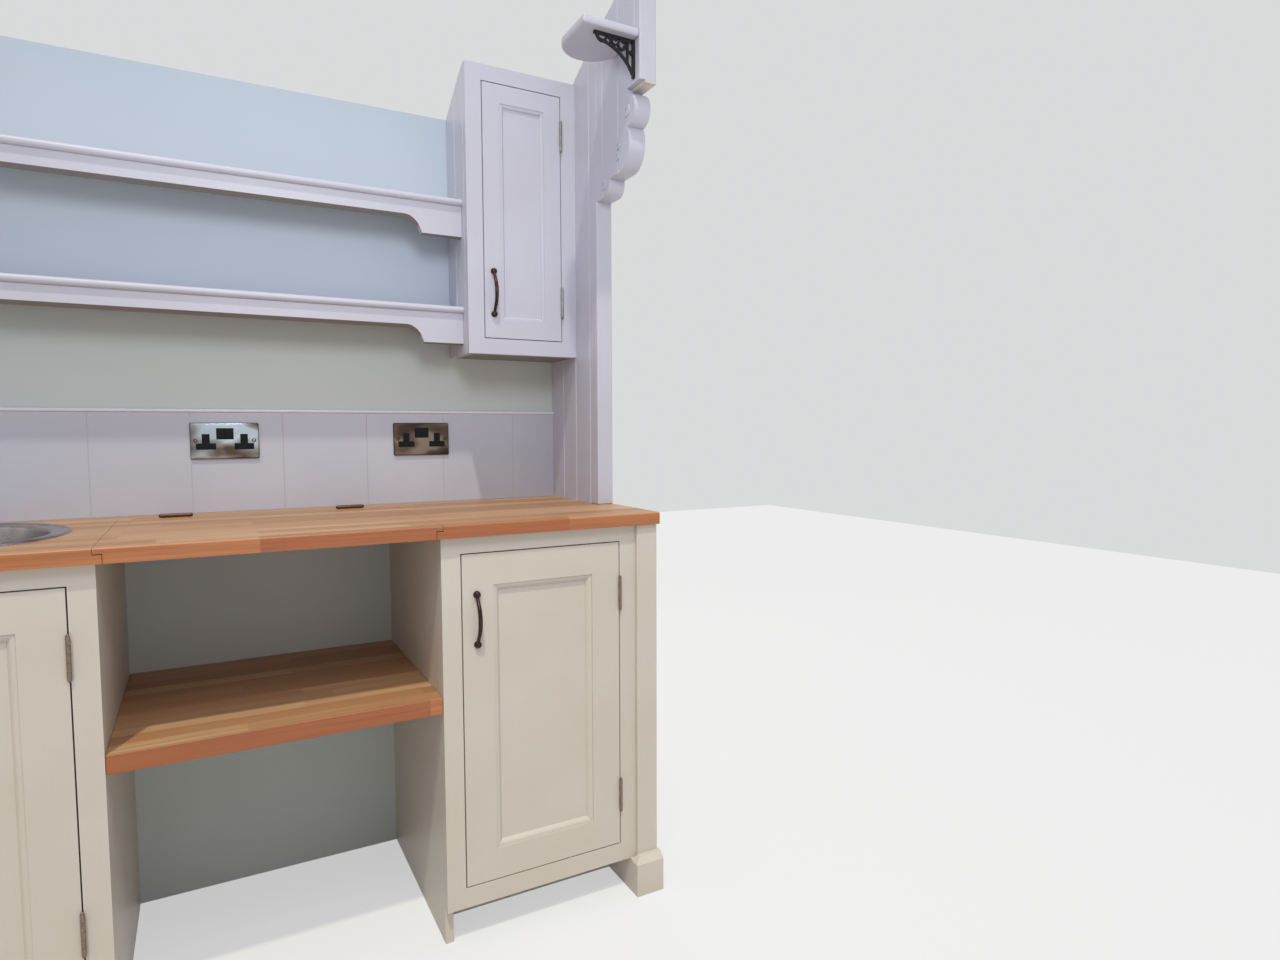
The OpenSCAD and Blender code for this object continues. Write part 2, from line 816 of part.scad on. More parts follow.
module corbel() {
    color(cool_white) translate([partition_x, wall_y - upper_d, header_rail_h])
        rotate([90, 0, -90]) mirror([0, 0, 1]) difference() {
            union() {
                linear_extrude(partition_t) corbel_outline();
                for (eye = corbel_eyes) translate([eye[0][0], eye[0][1], -corbel_eye_out])
                    cylinder(r = eye[1], h = partition_t + 2 * corbel_eye_out);
            }
            for (eye = corbel_eyes) for (z = [-2 * corbel_eye_out, partition_t])
                translate([eye[0][0], eye[0][1], z])
                    cylinder(r = eye[1] / 4, h = 2 * corbel_eye_out);
        }
}

// High shelf on the header, and its cast scroll bracket

module high_shelf() {
    end_r = high_shelf_w / 2;
    color(cool_white) translate([partition_x, wall_y - header_d, high_shelf_h])
        linear_extrude(high_shelf_t) {
            translate([-high_shelf_w, 0]) square([high_shelf_w, high_shelf_l - end_r]);
            translate([-end_r, high_shelf_l - end_r]) circle(end_r, $fn = 96);
        }
}

// A ring, whole or with the quarter between its mouth's two sides left out
module scroll_ring(r, mouth) {
    difference() {
        circle(r);
        circle(r - scroll_t);
        rotate(mouth) square(r + 1);
    }
}

// Outline of the bracket, [distance from the header, height under the shelf]
module bracket_outline() {
    bar = bracket_bar;
    tip = [bracket_w - brace_in, -brace_drop];
    foot = [bar, -bracket_h + bar];
    // Middle of the brace's hollow curve, off the line from the foot to the tip
    half = norm(tip - foot) / 2;
    side = [tip[1] - foot[1], foot[0] - tip[0]] / (2 * half);
    centre = (tip + foot) / 2 + sqrt(pow(brace_r, 2) - pow(half, 2)) * side;
    upright_x = bracket_w * 0.16;
    big = [upright_x + scroll_t + scroll_r, -bar - scroll_r + scroll_t / 4];
    small_r = scroll_r * 0.75;
    mouth = 100;
    // Arm, leg and their screw lugs
    translate([0, -bar]) square([bracket_w, bar]);
    translate([0, -bracket_h]) square([bar, bracket_h]);
    intersection() {
        for (lug = [[bracket_w / 4, -bar], [bar, -bracket_h / 3]]) translate(lug) circle(bar);
        translate([0, -bracket_h]) square([bracket_w, bracket_h]);
    }
    // Brace, and its rounded end under the arm's tip
    intersection() {
        translate(centre) difference() {
            circle(brace_r + scroll_t, $fn = 96);
            circle(brace_r, $fn = 96);
        }
        translate([0, -bracket_h]) square([tip[0], bracket_h - brace_drop + scroll_t]);
    }
    translate([tip[0] - brace_drop / 2, -bar / 2]) intersection() {
        difference() {
            circle(brace_drop);
            circle(brace_drop - scroll_t);
        }
        translate([0, -brace_drop]) square(brace_drop);
    }
    // Inner upright and its cross bar
    translate([upright_x, -bracket_h * 0.66]) square([scroll_t, bracket_h * 0.66]);
    translate([0, -bracket_h / 3 - scroll_t / 2]) square([upright_x + scroll_t, scroll_t]);
    // Scrolls under the arm, from the header outwards
    translate(big) scroll_ring(scroll_r, mouth);
    translate(big + (scroll_r - scroll_t) * [cos(mouth + 90), sin(mouth + 90)]) circle(scroll_t);
    for (place = [0, 1])
        translate([big[0] + scroll_r + small_r - 2 + place * (2 * small_r - 2),
            -bar - small_r + scroll_t / 4])
            scroll_ring(small_r, mouth + 50 + 60 * place);
}

module shelf_bracket() {
    color(cast_iron)
        translate([partition_x, wall_y - header_d + bracket_in + bracket_t / 2, high_shelf_h])
            rotate([90, 0, 0]) linear_extrude(bracket_t) mirror([1, 0, 0]) bracket_outline();
}

module plinth_block(side) {
    x_out = side * (run_right + top_end);
    x_in = side * (run_right - post_w - plinth_return_t);
    x_post = side * (run_right - post_w);
    cut = plinth_chamfer * sqrt(2);
    difference() {
        slab([min(x_in, x_out), max(x_in, x_out)], [front_post_d, plinth_d], [0, plinth_h]);
        // Chamfers along the front and along the side towards the kick board
        translate([0, wall_y - plinth_d, plinth_h]) rotate([45, 0, 0])
            cube([3 * run_w, cut, cut], center = true);
        translate([x_in, wall_y - plinth_d, plinth_h]) rotate([0, 45, 0])
            cube([cut, 3 * plinth_t, cut], center = true);
    }
    slab([min(x_in, x_post), max(x_in, x_post)],
        [frame_d - kick_back - board_t, front_post_d + eps], [0, toe_h]);
}

module plinth_blocks() {
    color(warm_white) {
        plinth_block(-1);
        plinth_block(1);
    }
}

// Wall shelves

// Outline of an apron, [x, z] from its left end, hanging from z = 0
module apron_outline(length) {
    curve_x = tab_w + tab_step + tab_r;
    curve_z = -apron_h - tab_r;
    difference() {
        translate([0, -tab_h]) square([length, tab_h]);
        translate([tab_w, -tab_h - 1])
            square([length - 2 * tab_w, tab_h - apron_h - tab_r + 1 + eps]);
        translate([curve_x, curve_z - eps])
            square([length - 2 * curve_x, tab_r + eps]);
        for (x = [curve_x, length - curve_x]) translate([x, curve_z]) circle(tab_r);
    }
}

module shelf(z) {
    length = wall_unit_x - run_left;
    front = shelf_d - shelf_t / 2;
    color(cool_white) {
        along_run(run_left, wall_unit_x) union() {
            translate([-front, z - shelf_t]) square([front, shelf_t]);
            translate([-front, z - shelf_t / 2]) circle(shelf_t / 2);
        }
        translate([run_left, wall_y - shelf_d + nosing + apron_t, z - shelf_t])
            rotate([90, 0, 0]) linear_extrude(apron_t) apron_outline(length);
    }
}

module shelf_upper() {
    shelf(shelf_high);
}

module shelf_lower() {
    shelf(shelf_low);
}

// Wall cupboard

wall_body_d = wall_unit_d - frame_t;
wall_door_x = [wall_unit_x + stile_w + door_gap, partition_x - stile_w - door_gap];
wall_door_z = wall_open_low + door_gap;
wall_door_h = wall_open_top - wall_open_low - 2 * door_gap;

module wall_cupboard_side() {
    color(cool_white)
        vaulted_slab(wall_unit_x, wall_unit_x + board_t, 0, wall_body_d, wall_unit_h);
}

module wall_cupboard_bottom() {
    color(cool_white) slab([wall_unit_x + board_t, partition_x], [0, wall_body_d],
        [wall_unit_h, wall_unit_h + board_t]);
}

module wall_cupboard_top() {
    color(cool_white) along_run(wall_unit_x + board_t, partition_x)
        polygon(concat(vault_line(0, wall_body_d, 8),
            [[-wall_body_d, vault_z(wall_body_d) - board_t], [0, vault_z(0) - board_t]]));
}

module wall_cupboard_frame() {
    color(cool_white) face_frame([wall_unit_x, partition_x], [wall_body_d, wall_unit_d],
        [wall_unit_h, wall_top], [wall_rail_h, wall_rail_h]);
}

module wall_door() {
    color(cool_white) framed_door(wall_door_x[0], wall_door_x[1] - wall_door_x[0], wall_unit_d,
        wall_door_z, wall_door_h, wall_member_w);
}

module wall_door_handle() {
    bow_handle(wall_door_x[0] + wall_member_w / 2, wall_unit_d, wall_bow_mid_h);
}

module wall_door_leaves() {
    color(steel) butt_pair(wall_door_x[1], wall_unit_d, wall_door_z, wall_door_h,
        wall_butt_inset, false);
}

module wall_frame_leaves() {
    color(steel) butt_pair(wall_door_x[1], wall_unit_d, wall_door_z, wall_door_h,
        wall_butt_inset, true);
}

back_wall();
wall_studs();
splashback();
tile_trim();
socket_left();
socket_right();
worktop();
worktop_flap();
flap_leaves();
sink_bowl();
sink_waste();
left_end_post();
left_end_boards();
left_bay_side();
left_face_frame();
left_door();
left_door_handle();
left_door_leaves();
right_bay_side();
right_face_frame();
right_door();
right_door_handle();
right_door_leaves();
base_frame_leaves();
cupboard_floors();
kick_boards();
oven_shelf();
partition_lower_boards();
partition_lower_post();
partition_upper_boards();
partition_upper_post();
header_boards();
header_rail();
corbel();
high_shelf();
shelf_bracket();
plinth_blocks();
shelf_upper();
shelf_lower();
wall_cupboard_side();
wall_cupboard_bottom();
wall_cupboard_top();
wall_cupboard_frame();
wall_door();
wall_door_handle();
wall_door_leaves();
wall_frame_leaves();
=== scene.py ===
"""Looks of a fitted kitchenette from a shepherd's hut.

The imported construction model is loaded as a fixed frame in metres. Every sub-assembly is
a class that models and dresses its own pieces round that frame: painted joinery with
eased arrises, matchboarding, glazed tiles, staved timber, the inset sink, socket plates,
bow handles, butt hinges and the cast bracket of the high shelf.
"""

import logging
import math
from contextlib import contextmanager
from dataclasses import dataclass
from enum import Enum
from typing import Callable, Iterable, Iterator, Optional, Sequence

import bpy
from mathutils import Matrix, Vector


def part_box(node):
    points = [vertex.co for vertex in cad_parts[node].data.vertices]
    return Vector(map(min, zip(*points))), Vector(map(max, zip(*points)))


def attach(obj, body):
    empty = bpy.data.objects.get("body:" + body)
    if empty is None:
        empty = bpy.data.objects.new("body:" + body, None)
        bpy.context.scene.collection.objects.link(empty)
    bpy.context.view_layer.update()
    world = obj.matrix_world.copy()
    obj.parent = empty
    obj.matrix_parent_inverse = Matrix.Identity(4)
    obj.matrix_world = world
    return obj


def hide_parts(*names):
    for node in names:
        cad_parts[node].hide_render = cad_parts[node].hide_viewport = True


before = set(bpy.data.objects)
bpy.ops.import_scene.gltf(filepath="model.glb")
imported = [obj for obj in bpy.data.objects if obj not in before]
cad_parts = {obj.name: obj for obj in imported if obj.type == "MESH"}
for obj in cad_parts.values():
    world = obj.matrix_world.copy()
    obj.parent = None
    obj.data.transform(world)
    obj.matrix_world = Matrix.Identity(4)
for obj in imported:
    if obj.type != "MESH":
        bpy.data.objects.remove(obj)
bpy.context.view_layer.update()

LOG = logging.getLogger("kitchenette")
MM = 0.001
NEAR = 0.1 * MM
ALIGNED = 0.99
LEAST_BOARD = 10 * MM
WALL_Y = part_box("back_wall")[0].y
FIRST_BOARD_W = 86 * MM
BOARD_W = 84 * MM
BOARD_JOINTS = tuple(WALL_Y - FIRST_BOARD_W - i * BOARD_W for i in range(6))
Colour = tuple[float, float, float]
Corners = tuple[tuple[float, float, float], tuple[float, float, float]]
Piece = bpy.types.Object
Material = bpy.types.Material
Socket = bpy.types.NodeSocket


class Body(str, Enum):
    """The bodies of the construction model that pieces ride on."""

    FIXED = "kitchenette"
    LEFT_DOOR = "left_base_door"
    RIGHT_DOOR = "right_base_door"
    WALL_DOOR = "wall_cupboard_door"
    FLAP = "lifting_flap"


class Part(Enum):
    """What a test picks on a mesh."""

    POINTS = 0
    EDGES = 1
    FACES = 2


class Axis(Enum):
    """A direction of the frame: along the run, out from the wall, or up."""

    ALONG = 0
    OUT = 1
    UP = 2

    def by(self, size: float) -> list[float]:
        """Gives the move of this size along the axis."""
        return [size if axis is self else 0.0 for axis in Axis]

    def at(self, place: float) -> Callable[[Vector], bool]:
        """Gives the test that picks the points on a plane across the axis."""
        return lambda point: abs(point[self.value] - place) < NEAR

    def runs(self, first: Vector, second: Vector) -> bool:
        """Tells whether an edge runs along the axis."""
        step = second - first
        return abs(step[self.value]) > ALIGNED * step.length

    def faced(self, way: int) -> Callable[[Vector, Vector], bool]:
        """Gives the test that picks the faces that look one way along the axis."""
        return lambda middle, normal: way * normal[self.value] > ALIGNED


def display(red: int, green: int, blue: int) -> Colour:
    """Turns an eight-bit display colour into the linear one that shaders read.

    Args:
        red: Red from 0 to 255.
        green: Green from 0 to 255.
        blue: Blue from 0 to 255.

    Returns:
        The linear colour.
    """
    shares = (value / 255 for value in (red, green, blue))
    return tuple(share / 12.92 if share <= 0.04045 else ((share + 0.055) / 1.055) ** 2.4
                 for share in shares)


def toned(colour: Colour, *factors: float) -> Colour:
    """Multiplies a colour by one factor, or by one for each channel."""
    return tuple(channel * factor for channel, factor in zip(colour, factors * 3))


def fill(node: bpy.types.Node, inputs: dict) -> None:
    """Sets or links a shader node's inputs.

    Args:
        node: The shader node.
        inputs: Numbers, colours or sockets by input name or number.
    """
    for key, value in inputs.items():
        target = node.inputs[key]
        if isinstance(value, Socket):
            node.id_data.links.new(value, target)
        else:
            target.default_value = (*value, 1.0) if target.type == "RGBA" else value


def add(tree: bpy.types.NodeTree, kind: str, inputs: dict, **settings: object) -> bpy.types.Node:
    """Adds a shader node.

    Args:
        tree: The tree that it joins.
        kind: The node's type name, without its ShaderNode.
        inputs: Numbers, colours or sockets by input name or number.
        **settings: Properties of the node.

    Returns:
        The new node.
    """
    made = tree.nodes.new(f"ShaderNode{kind}")
    for key, value in settings.items():
        setattr(made, key, value)
    fill(made, inputs)
    return made


class Graph:
    """The node tree of one material, with short calls that add and join nodes."""

    def __init__(self, name: str) -> None:
        """Starts a material that holds a principled shader alone.

        Args:
            name: The material's name.
        """
        self.material = bpy.data.materials.new(name)
        self.material.use_nodes = True
        self.tree = self.material.node_tree
        self.tree.nodes.clear()
        self.shader = self.node("BsdfPrincipled", {})
        self.output = self.node("OutputMaterial", {"Surface": self.shader.outputs[0]})
        self.place = self.node("TexCoord", {}).outputs["Object"]
        self.normal: Optional[Socket] = None

    def node(self, kind: str, inputs: dict, **settings: object) -> bpy.types.Node:
        """Adds a node to this material, as add does."""
        return add(self.tree, kind, inputs, **settings)

    def reading(self, axis: Axis, source: Optional[Socket] = None) -> Socket:
        """Reads the object coordinates, or another vector, along one axis."""
        return self.node("SeparateXYZ", {0: source or self.place}).outputs[axis.value]

    def facing(self, axis: Axis) -> Socket:
        """Reads how far a face looks along an axis, from -1 to 1."""
        return self.reading(axis, self.node("TexCoord", {}).outputs["Normal"])

    def stretched(self, scale: Sequence[float], source: Optional[Socket] = None) -> Socket:
        """Scales the object coordinates, or others, by a factor along each axis."""
        inputs = {"Vector": source or self.place, "Scale": tuple(scale)}
        return self.node("Mapping", inputs).outputs[0]

    def noise(self, scale: object, detail: float = 3.0, source: Optional[Socket] = None,
              **more: float) -> Socket:
        """Adds fractal noise.

        Args:
            scale: Waves per metre, the same all round or given along each axis.
            detail: Octaves.
            source: Coordinates to read, if not the object's.
            **more: Other inputs of the noise node, by name.

        Returns:
            The noise from 0 to 1.
        """
        place = source or self.place
        if not isinstance(scale, float):
            place, scale = self.stretched(scale, place), 1.0
        inputs = {"Vector": place, "Scale": scale, "Detail": detail, **more}
        return self.node("TexNoise", inputs).outputs[0]

    def ramp(self, factor: Socket, stops: Sequence[tuple[float, Colour]]) -> Socket:
        """Adds a colour ramp.

        Args:
            factor: The factor that picks the colour.
            stops: Positions with their linear colours, from low to high.

        Returns:
            The colour.
        """
        made = self.node("ValToRGB", {0: factor})
        points = made.color_ramp.elements
        while len(points) < len(stops):
            points.new(0.5)
        for point, (place, colour) in zip(points, stops):
            point.position = place
            point.color = (*colour, 1.0)
        return made.outputs[0]

    def mix(self, factor: object, first: object, second: object, blend: str = "MIX") -> Socket:
        """Mixes two colours.

        Args:
            factor: Share of the second colour, a number or a socket.
            first: First colour or socket.
            second: Second colour or socket.
            blend: Way of mixing.

        Returns:
            The mixed colour.
        """
        inputs = {0: factor, 6: first, 7: second}
        return self.node("Mix", inputs, data_type="RGBA", blend_type=blend).outputs[2]

    def math(self, operation: str, first: object, second: object) -> Socket:
        """Adds a sum on two numbers or sockets."""
        return self.node("Math", {0: first, 1: second}, operation=operation).outputs[0]

    def spread(self, value: Socket, low: float, high: float, to_low: float,
               to_high: float) -> Socket:
        """Maps one range of numbers onto another, held at its ends.

        Args:
            value: The number to map.
            low: Lower end of the first range.
            high: Upper end of the first range.
            to_low: Result at the lower end.
            to_high: Result at the upper end.

        Returns:
            The mapped number.
        """
        inputs = {0: value, 1: low, 2: high, 3: to_low, 4: to_high}
        return self.node("MapRange", inputs).outputs[0]

    def lay(self, base: object, over: object, mask: Socket, low: float, high: float,
            share: float = 1.0) -> Socket:
        """Lays a colour over another where a mask is high.

        Args:
            base: The colour or socket below.
            over: The colour or socket on top.
            mask: The mask.
            low: Value of the mask where the top one starts to show.
            high: Value of the mask where it shows most.
            share: How much it shows there.

        Returns:
            The mixed colour.
        """
        return self.mix(self.spread(mask, low, high, 0.0, share), base, over)

    def bump(self, height: Socket, strength: float, distance: float) -> None:
        """Adds a bump on top of those before.

        Args:
            height: The height from 0 to 1.
            strength: Strength of the bump.
            distance: Real height in metres.
        """
        inputs = {"Height": height, "Strength": strength, "Distance": distance}
        if self.normal is not None:
            inputs["Normal"] = self.normal
        self.normal = self.node("Bump", inputs).outputs[0]

    def finish(self, colour: object, roughness: object, **more: object) -> Material:
        """Fills the shader and gives the finished material.

        Args:
            colour: Base colour or socket.
            roughness: Roughness or socket.
            **more: Other shader inputs, with underscores for the spaces in their names.

        Returns:
            The material.
        """
        inputs = {"Base Color": colour, "Roughness": roughness}
        inputs.update({key.replace("_", " "): value for key, value in more.items()})
        if self.normal is not None:
            inputs["Normal"] = self.normal
        fill(self.shader, inputs)
        return self.material


@dataclass(frozen=True)
class Paint:
    """Brushed eggshell paint on timber."""

    name: str
    colour: Colour
    grain: Axis
    roughness: float = 0.42
    brush: float = 0.35
    # Strength of the painted shade on faces that look down, and the line behind which it falls.
    painted_under_shade: float = 0.0
    under_shade_behind: float = -9.0

    def material(self) -> Material:
        """Makes the paint: drifting tone, brush marks, a little dust at the floor.

        A piece that is seen from below takes painted shade, a darker brown tone, on its
        underside, or on the part of it that lies behind a line.

        Returns:
            The material.
        """
        graph = Graph(self.name)
        across = [420.0, 420.0, 420.0]
        across[self.grain.value] = 7.0
        strokes = graph.noise(across, 2.0, Roughness=0.6)
        drift = graph.noise(5.0)
        tone = graph.lay(self.colour, toned(self.colour, 0.955, 0.945, 0.92), drift, 0.35, 0.65)
        tone = graph.lay(tone, toned(self.colour, 0.94), strokes, 0.3, 0.7, 0.35)
        dust = graph.math("MULTIPLY", graph.spread(graph.reading(Axis.UP), 0.0, 0.05, 0.3, 0.0),
                          graph.spread(drift, 0.35, 0.7, 0.3, 1.0))
        tone = graph.mix(dust, tone, toned(self.colour, 0.72, 0.66, 0.58))
        # Painted shade: faces that look down, behind a line, turn a darker brown.
        under = graph.spread(graph.facing(Axis.UP), -0.3, -0.6, 0.0, self.painted_under_shade)
        behind = graph.math("GREATER_THAN", graph.reading(Axis.OUT), self.under_shade_behind)
        tone = graph.mix(graph.math("MULTIPLY", under, behind), tone,
                         toned(self.colour, 0.33, 0.28, 0.20))
        graph.bump(strokes, self.brush, 0.25 * MM)
        graph.bump(graph.noise(900.0, 2.0), 0.12, 0.12 * MM)
        gloss = graph.spread(strokes, 0.2, 0.8, self.roughness - 0.06, self.roughness + 0.08)
        return graph.finish(tone, gloss)


@dataclass(frozen=True)
class WallPaint:
    """Matt emulsion rolled on the flat lining, with bare board behind.

    Its colour carries painted light: warmer low over the worktop, and painted shade towards the
    ceiling.
    """

    name: str
    colour: Colour
    board: Colour
    low: float = 1.3
    high: float = 2.0

    def material(self) -> Material:
        """Makes the rolled paint, and the bare board on faces that look back.

        Returns:
            The material.
        """
        graph = Graph(self.name)
        drift = graph.noise(2.2)
        tone = graph.lay(self.colour, toned(self.colour, 0.95, 0.955, 0.965), drift, 0.3, 0.7)
        # Painted light by height: a warm tint low over the worktop, painted shade towards the
        # ceiling.
        height = graph.spread(graph.reading(Axis.UP), self.low, self.high, 0.0, 1.0)
        painted_warm_light, untinted_tone, painted_ceiling_shade = (1.0, 0.985, 0.85), (0.98, 0.995, 1.0), (0.91, 0.925, 0.93)
        cast = graph.ramp(height, ((0.12, painted_warm_light), (0.17, untinted_tone), (0.54, untinted_tone), (0.60, painted_ceiling_shade),
                                   (1.0, (0.83, 0.865, 0.90))))
        tone = graph.mix(1.0, tone, cast, "MULTIPLY")
        fibre = graph.noise((260, 260, 5), 4.0)
        bare = graph.lay(self.board, toned(self.board, 0.78), fibre, 0.3, 0.7)
        tone = graph.mix(graph.math("GREATER_THAN", graph.facing(Axis.OUT), 0.5), tone, bare)
        graph.bump(graph.noise(520.0, 3.0, Roughness=0.6), 0.3, 0.35 * MM)
        graph.bump(graph.noise(9.0, 2.0), 0.15, 1.2 * MM)
        return graph.finish(tone, 0.72)


@dataclass(frozen=True)
class StaveTimber:
    """Oiled hardwood glued up from staves that run along the worktop."""

    name: str
    shift: float = 0.0
    shift_out: float = 14 * MM
    stave_w: float = 42 * MM
    stave_l: float = 0.62

    def material(self) -> Material:
        """Makes the staves, each with its own tone and its own run of grain.

        Returns:
            The material.
        """
        graph = Graph(self.name)
        shifted = graph.node("Mapping", {
            "Vector": graph.place, "Location": (self.shift, self.shift_out, 0.0)}).outputs[0]
        staves = graph.node("TexBrick", {
            "Vector": shifted, "Color1": (0.0, 0.0, 0.0), "Color2": (1.0, 1.0, 1.0),
            "Mortar": (0.5, 0.5, 0.5), "Scale": 1.0, "Mortar Size": 0.25 * MM,
            "Mortar Smooth": 0.6, "Bias": 0.0, "Brick Width": self.stave_l,
            "Row Height": self.stave_w}, offset=0.37, offset_frequency=2, squash=0.72,
            squash_frequency=3)
        pick, joint = staves.outputs["Color"], staves.outputs["Fac"]
        wood = graph.ramp(pick, (
            (0.0, display(160, 116, 76)), (0.3, display(178, 134, 92)),
            (0.55, display(190, 150, 110)), (0.8, display(200, 164, 123)),
            (1.0, display(172, 120, 78))))
        jump = graph.node("VectorMath", {0: graph.place, 1: pick}, operation="ADD")
        jump = jump.outputs[0]
        fine = graph.noise((5, 330, 330), 5.0, jump, Roughness=0.65, Distortion=0.3)
        broad = graph.noise((1.6, 34, 34), 4.0, jump, Distortion=1.2)
        wood = graph.lay(wood, display(166, 114, 72), broad, 0.35, 0.7, 0.55)
        wood = graph.lay(wood, display(138, 92, 60), fine, 0.45, 0.75, 0.45)
        wood = graph.mix(graph.math("MULTIPLY", joint, 0.6), wood, display(92, 54, 32))
        # Painted shade: faces that look into the room take this darker, redder copy of the timber.
        edge = graph.ramp(pick, ((0.0, display(160, 88, 52)), (0.35, display(186, 120, 74)),
                                 (0.65, display(172, 100, 58)), (1.0, display(196, 136, 88))))
        edge = graph.lay(edge, display(150, 80, 46), broad, 0.4, 0.7, 0.5)
        edge = graph.lay(edge, display(112, 62, 36), fine, 0.48, 0.72, 0.45)
        wood = graph.lay(wood, edge, graph.facing(Axis.OUT), -0.5, -0.9, 0.85)
        graph.bump(fine, 0.18, 0.25 * MM)
        graph.bump(graph.math("SUBTRACT", 1.0, joint), 0.25, 0.3 * MM)
        gloss = graph.spread(fine, 0.3, 0.8, 0.34, 0.5)
        return graph.finish(wood, gloss, Specular_IOR_Level=0.42)


@dataclass(frozen=True)
class SawnPine:
    """Sawn softwood of the hidden studs."""

    name: str

    def material(self) -> Material:
        """Makes sawn pine with knots and saw marks across its length.

        Returns:
            The material.
        """
        graph = Graph(self.name)
        grain = graph.noise((150, 150, 3), 5.0, Distortion=0.6)
        cells = {"Vector": graph.stretched((9, 9, 2.6)), "Scale": 1.0}
        knots = graph.node("TexVoronoi", cells).outputs["Distance"]
        wood = graph.ramp(grain, ((0.25, display(186, 143, 92)), (0.5, display(212, 174, 122)),
                                  (0.8, display(228, 196, 148))))
        wood = graph.mix(graph.spread(knots, 0.03, 0.14, 0.85, 0.0), wood, display(112, 66, 34))
        graph.bump(graph.noise((4, 4, 520), 2.0), 0.4, 0.4 * MM)
        return graph.finish(wood, 0.82)


@dataclass(frozen=True)
class Glaze:
    """White gloss glaze of the wall tiles."""

    name: str
    colour: Colour

    def material(self) -> Material:
        """Makes the glaze with its gentle waves and faint mottling.

        Returns:
            The material.
        """
        graph = Graph(self.name)
        drift = graph.noise(7.0, 2.0)
        tone = graph.lay(self.colour, toned(self.colour, 0.965, 0.965, 0.98), drift, 0.35, 0.65)
        graph.bump(graph.noise(22.0, 1.0), 0.18, 0.9 * MM)
        return graph.finish(tone, graph.spread(drift, 0.3, 0.7, 0.1, 0.17))


@dataclass(frozen=True)
class Metal:
    """A metal with a fine grain along the run."""

    name: str
    colour: Colour
    dull: Colour
    roughness: float

    def material(self) -> Material:
        """Makes the metal with its lines and its clouded tarnish.

        Returns:
            The material.
        """
        graph = Graph(self.name)
        lines = graph.noise((12, 900, 900), 2.0)
        cloud = graph.noise(38.0, 4.0, Roughness=0.6)
        tone = graph.lay(self.colour, self.dull, cloud, 0.4, 0.72)
        graph.bump(lines, 0.12, 0.06 * MM)
        gloss = graph.spread(lines, 0.25, 0.75, self.roughness - 0.05, self.roughness + 0.09)
        return graph.finish(tone, gloss, Metallic=1.0)


@dataclass(frozen=True)
class AgedMetal:
    """Dark patinated metal that is rubbed bright where hands and edges meet."""

    name: str
    patina: Colour
    rubbed: Colour
    wear: float = 0.5
    roughness: float = 0.36

    def material(self) -> Material:
        """Makes the patina, with the rubbed metal showing at raised places.

        Returns:
            The material.
        """
        graph = Graph(self.name)
        cloud = graph.noise(120.0, 4.0, Roughness=0.6)
        raised = graph.node("NewGeometry", {}).outputs["Pointiness"]
        edge = graph.math("MULTIPLY", graph.spread(raised, 0.5, 0.62, 0.0, 1.0), self.wear)
        share = graph.math("ADD", edge, graph.spread(cloud, 0.52, 0.78, 0.0, 0.35))
        tone = graph.mix(share, self.patina, self.rubbed)
        graph.bump(graph.noise(700.0), 0.15, 0.08 * MM)
        gloss = graph.spread(cloud, 0.3, 0.7, self.roughness - 0.05, self.roughness + 0.12)
        return graph.finish(tone, gloss, Metallic=0.9)


@dataclass(frozen=True)
class Moulded:
    """A plain body colour with a fine texture: plastic, grout, satin trim or painted casting."""

    name: str
    colour: Colour
    roughness: float
    texture: float
    depth: float
    shine: float = 0.5

    def material(self) -> Material:
        """Makes the body colour with its fine texture.

        Returns:
            The material.
        """
        graph = Graph(self.name)
        grit = graph.noise(self.texture, 3.0, Roughness=0.6)
        tone = graph.lay(self.colour, toned(self.colour, 0.86), grit, 0.3, 0.7)
        graph.bump(grit, 0.3, self.depth)
        gloss = graph.spread(grit, 0.3, 0.7, self.roughness - 0.05, self.roughness + 0.06)
        return graph.finish(tone, gloss, Specular_IOR_Level=self.shine)


@dataclass(frozen=True)
class PlateWithPaintedReflections:
    """Plated steel whose colour carries painted reflections, bright in places and dark in others.
    """

    name: str
    bright: Colour
    middle: Colour
    bronzed: Colour
    roughness: float = 0.27

    def material(self) -> Material:
        """Makes the painted reflections as clouds drawn out slantwise, over fine brush lines.

        Returns:
            The material.
        """
        graph = Graph(self.name)
        slant = graph.node("Mapping", {
            "Vector": graph.place, "Scale": (11.0, 11.0, 19.0), "Rotation": (0.0, 0.5, 0.0)})
        cloud = graph.noise(1.0, 2.0, slant.outputs[0], Roughness=0.4, Distortion=0.2)
        # Painted reflections: the cloud picks the metal's dark, middle or bright colour.
        tone = graph.ramp(cloud, ((0.36, self.bronzed), (0.48, self.middle), (0.58, self.bright)))
        graph.bump(graph.noise((1400, 1400, 40), 2.0), 0.1, 0.05 * MM)
        gloss = graph.spread(cloud, 0.35, 0.6, self.roughness + 0.1, self.roughness)
        return graph.finish(tone, gloss, Metallic=1.0)


@dataclass(frozen=True)
class Coat:
    """One paint as it is brushed upright and along, with the record's material slot."""

    up: Material
    along: Material
    slot: str


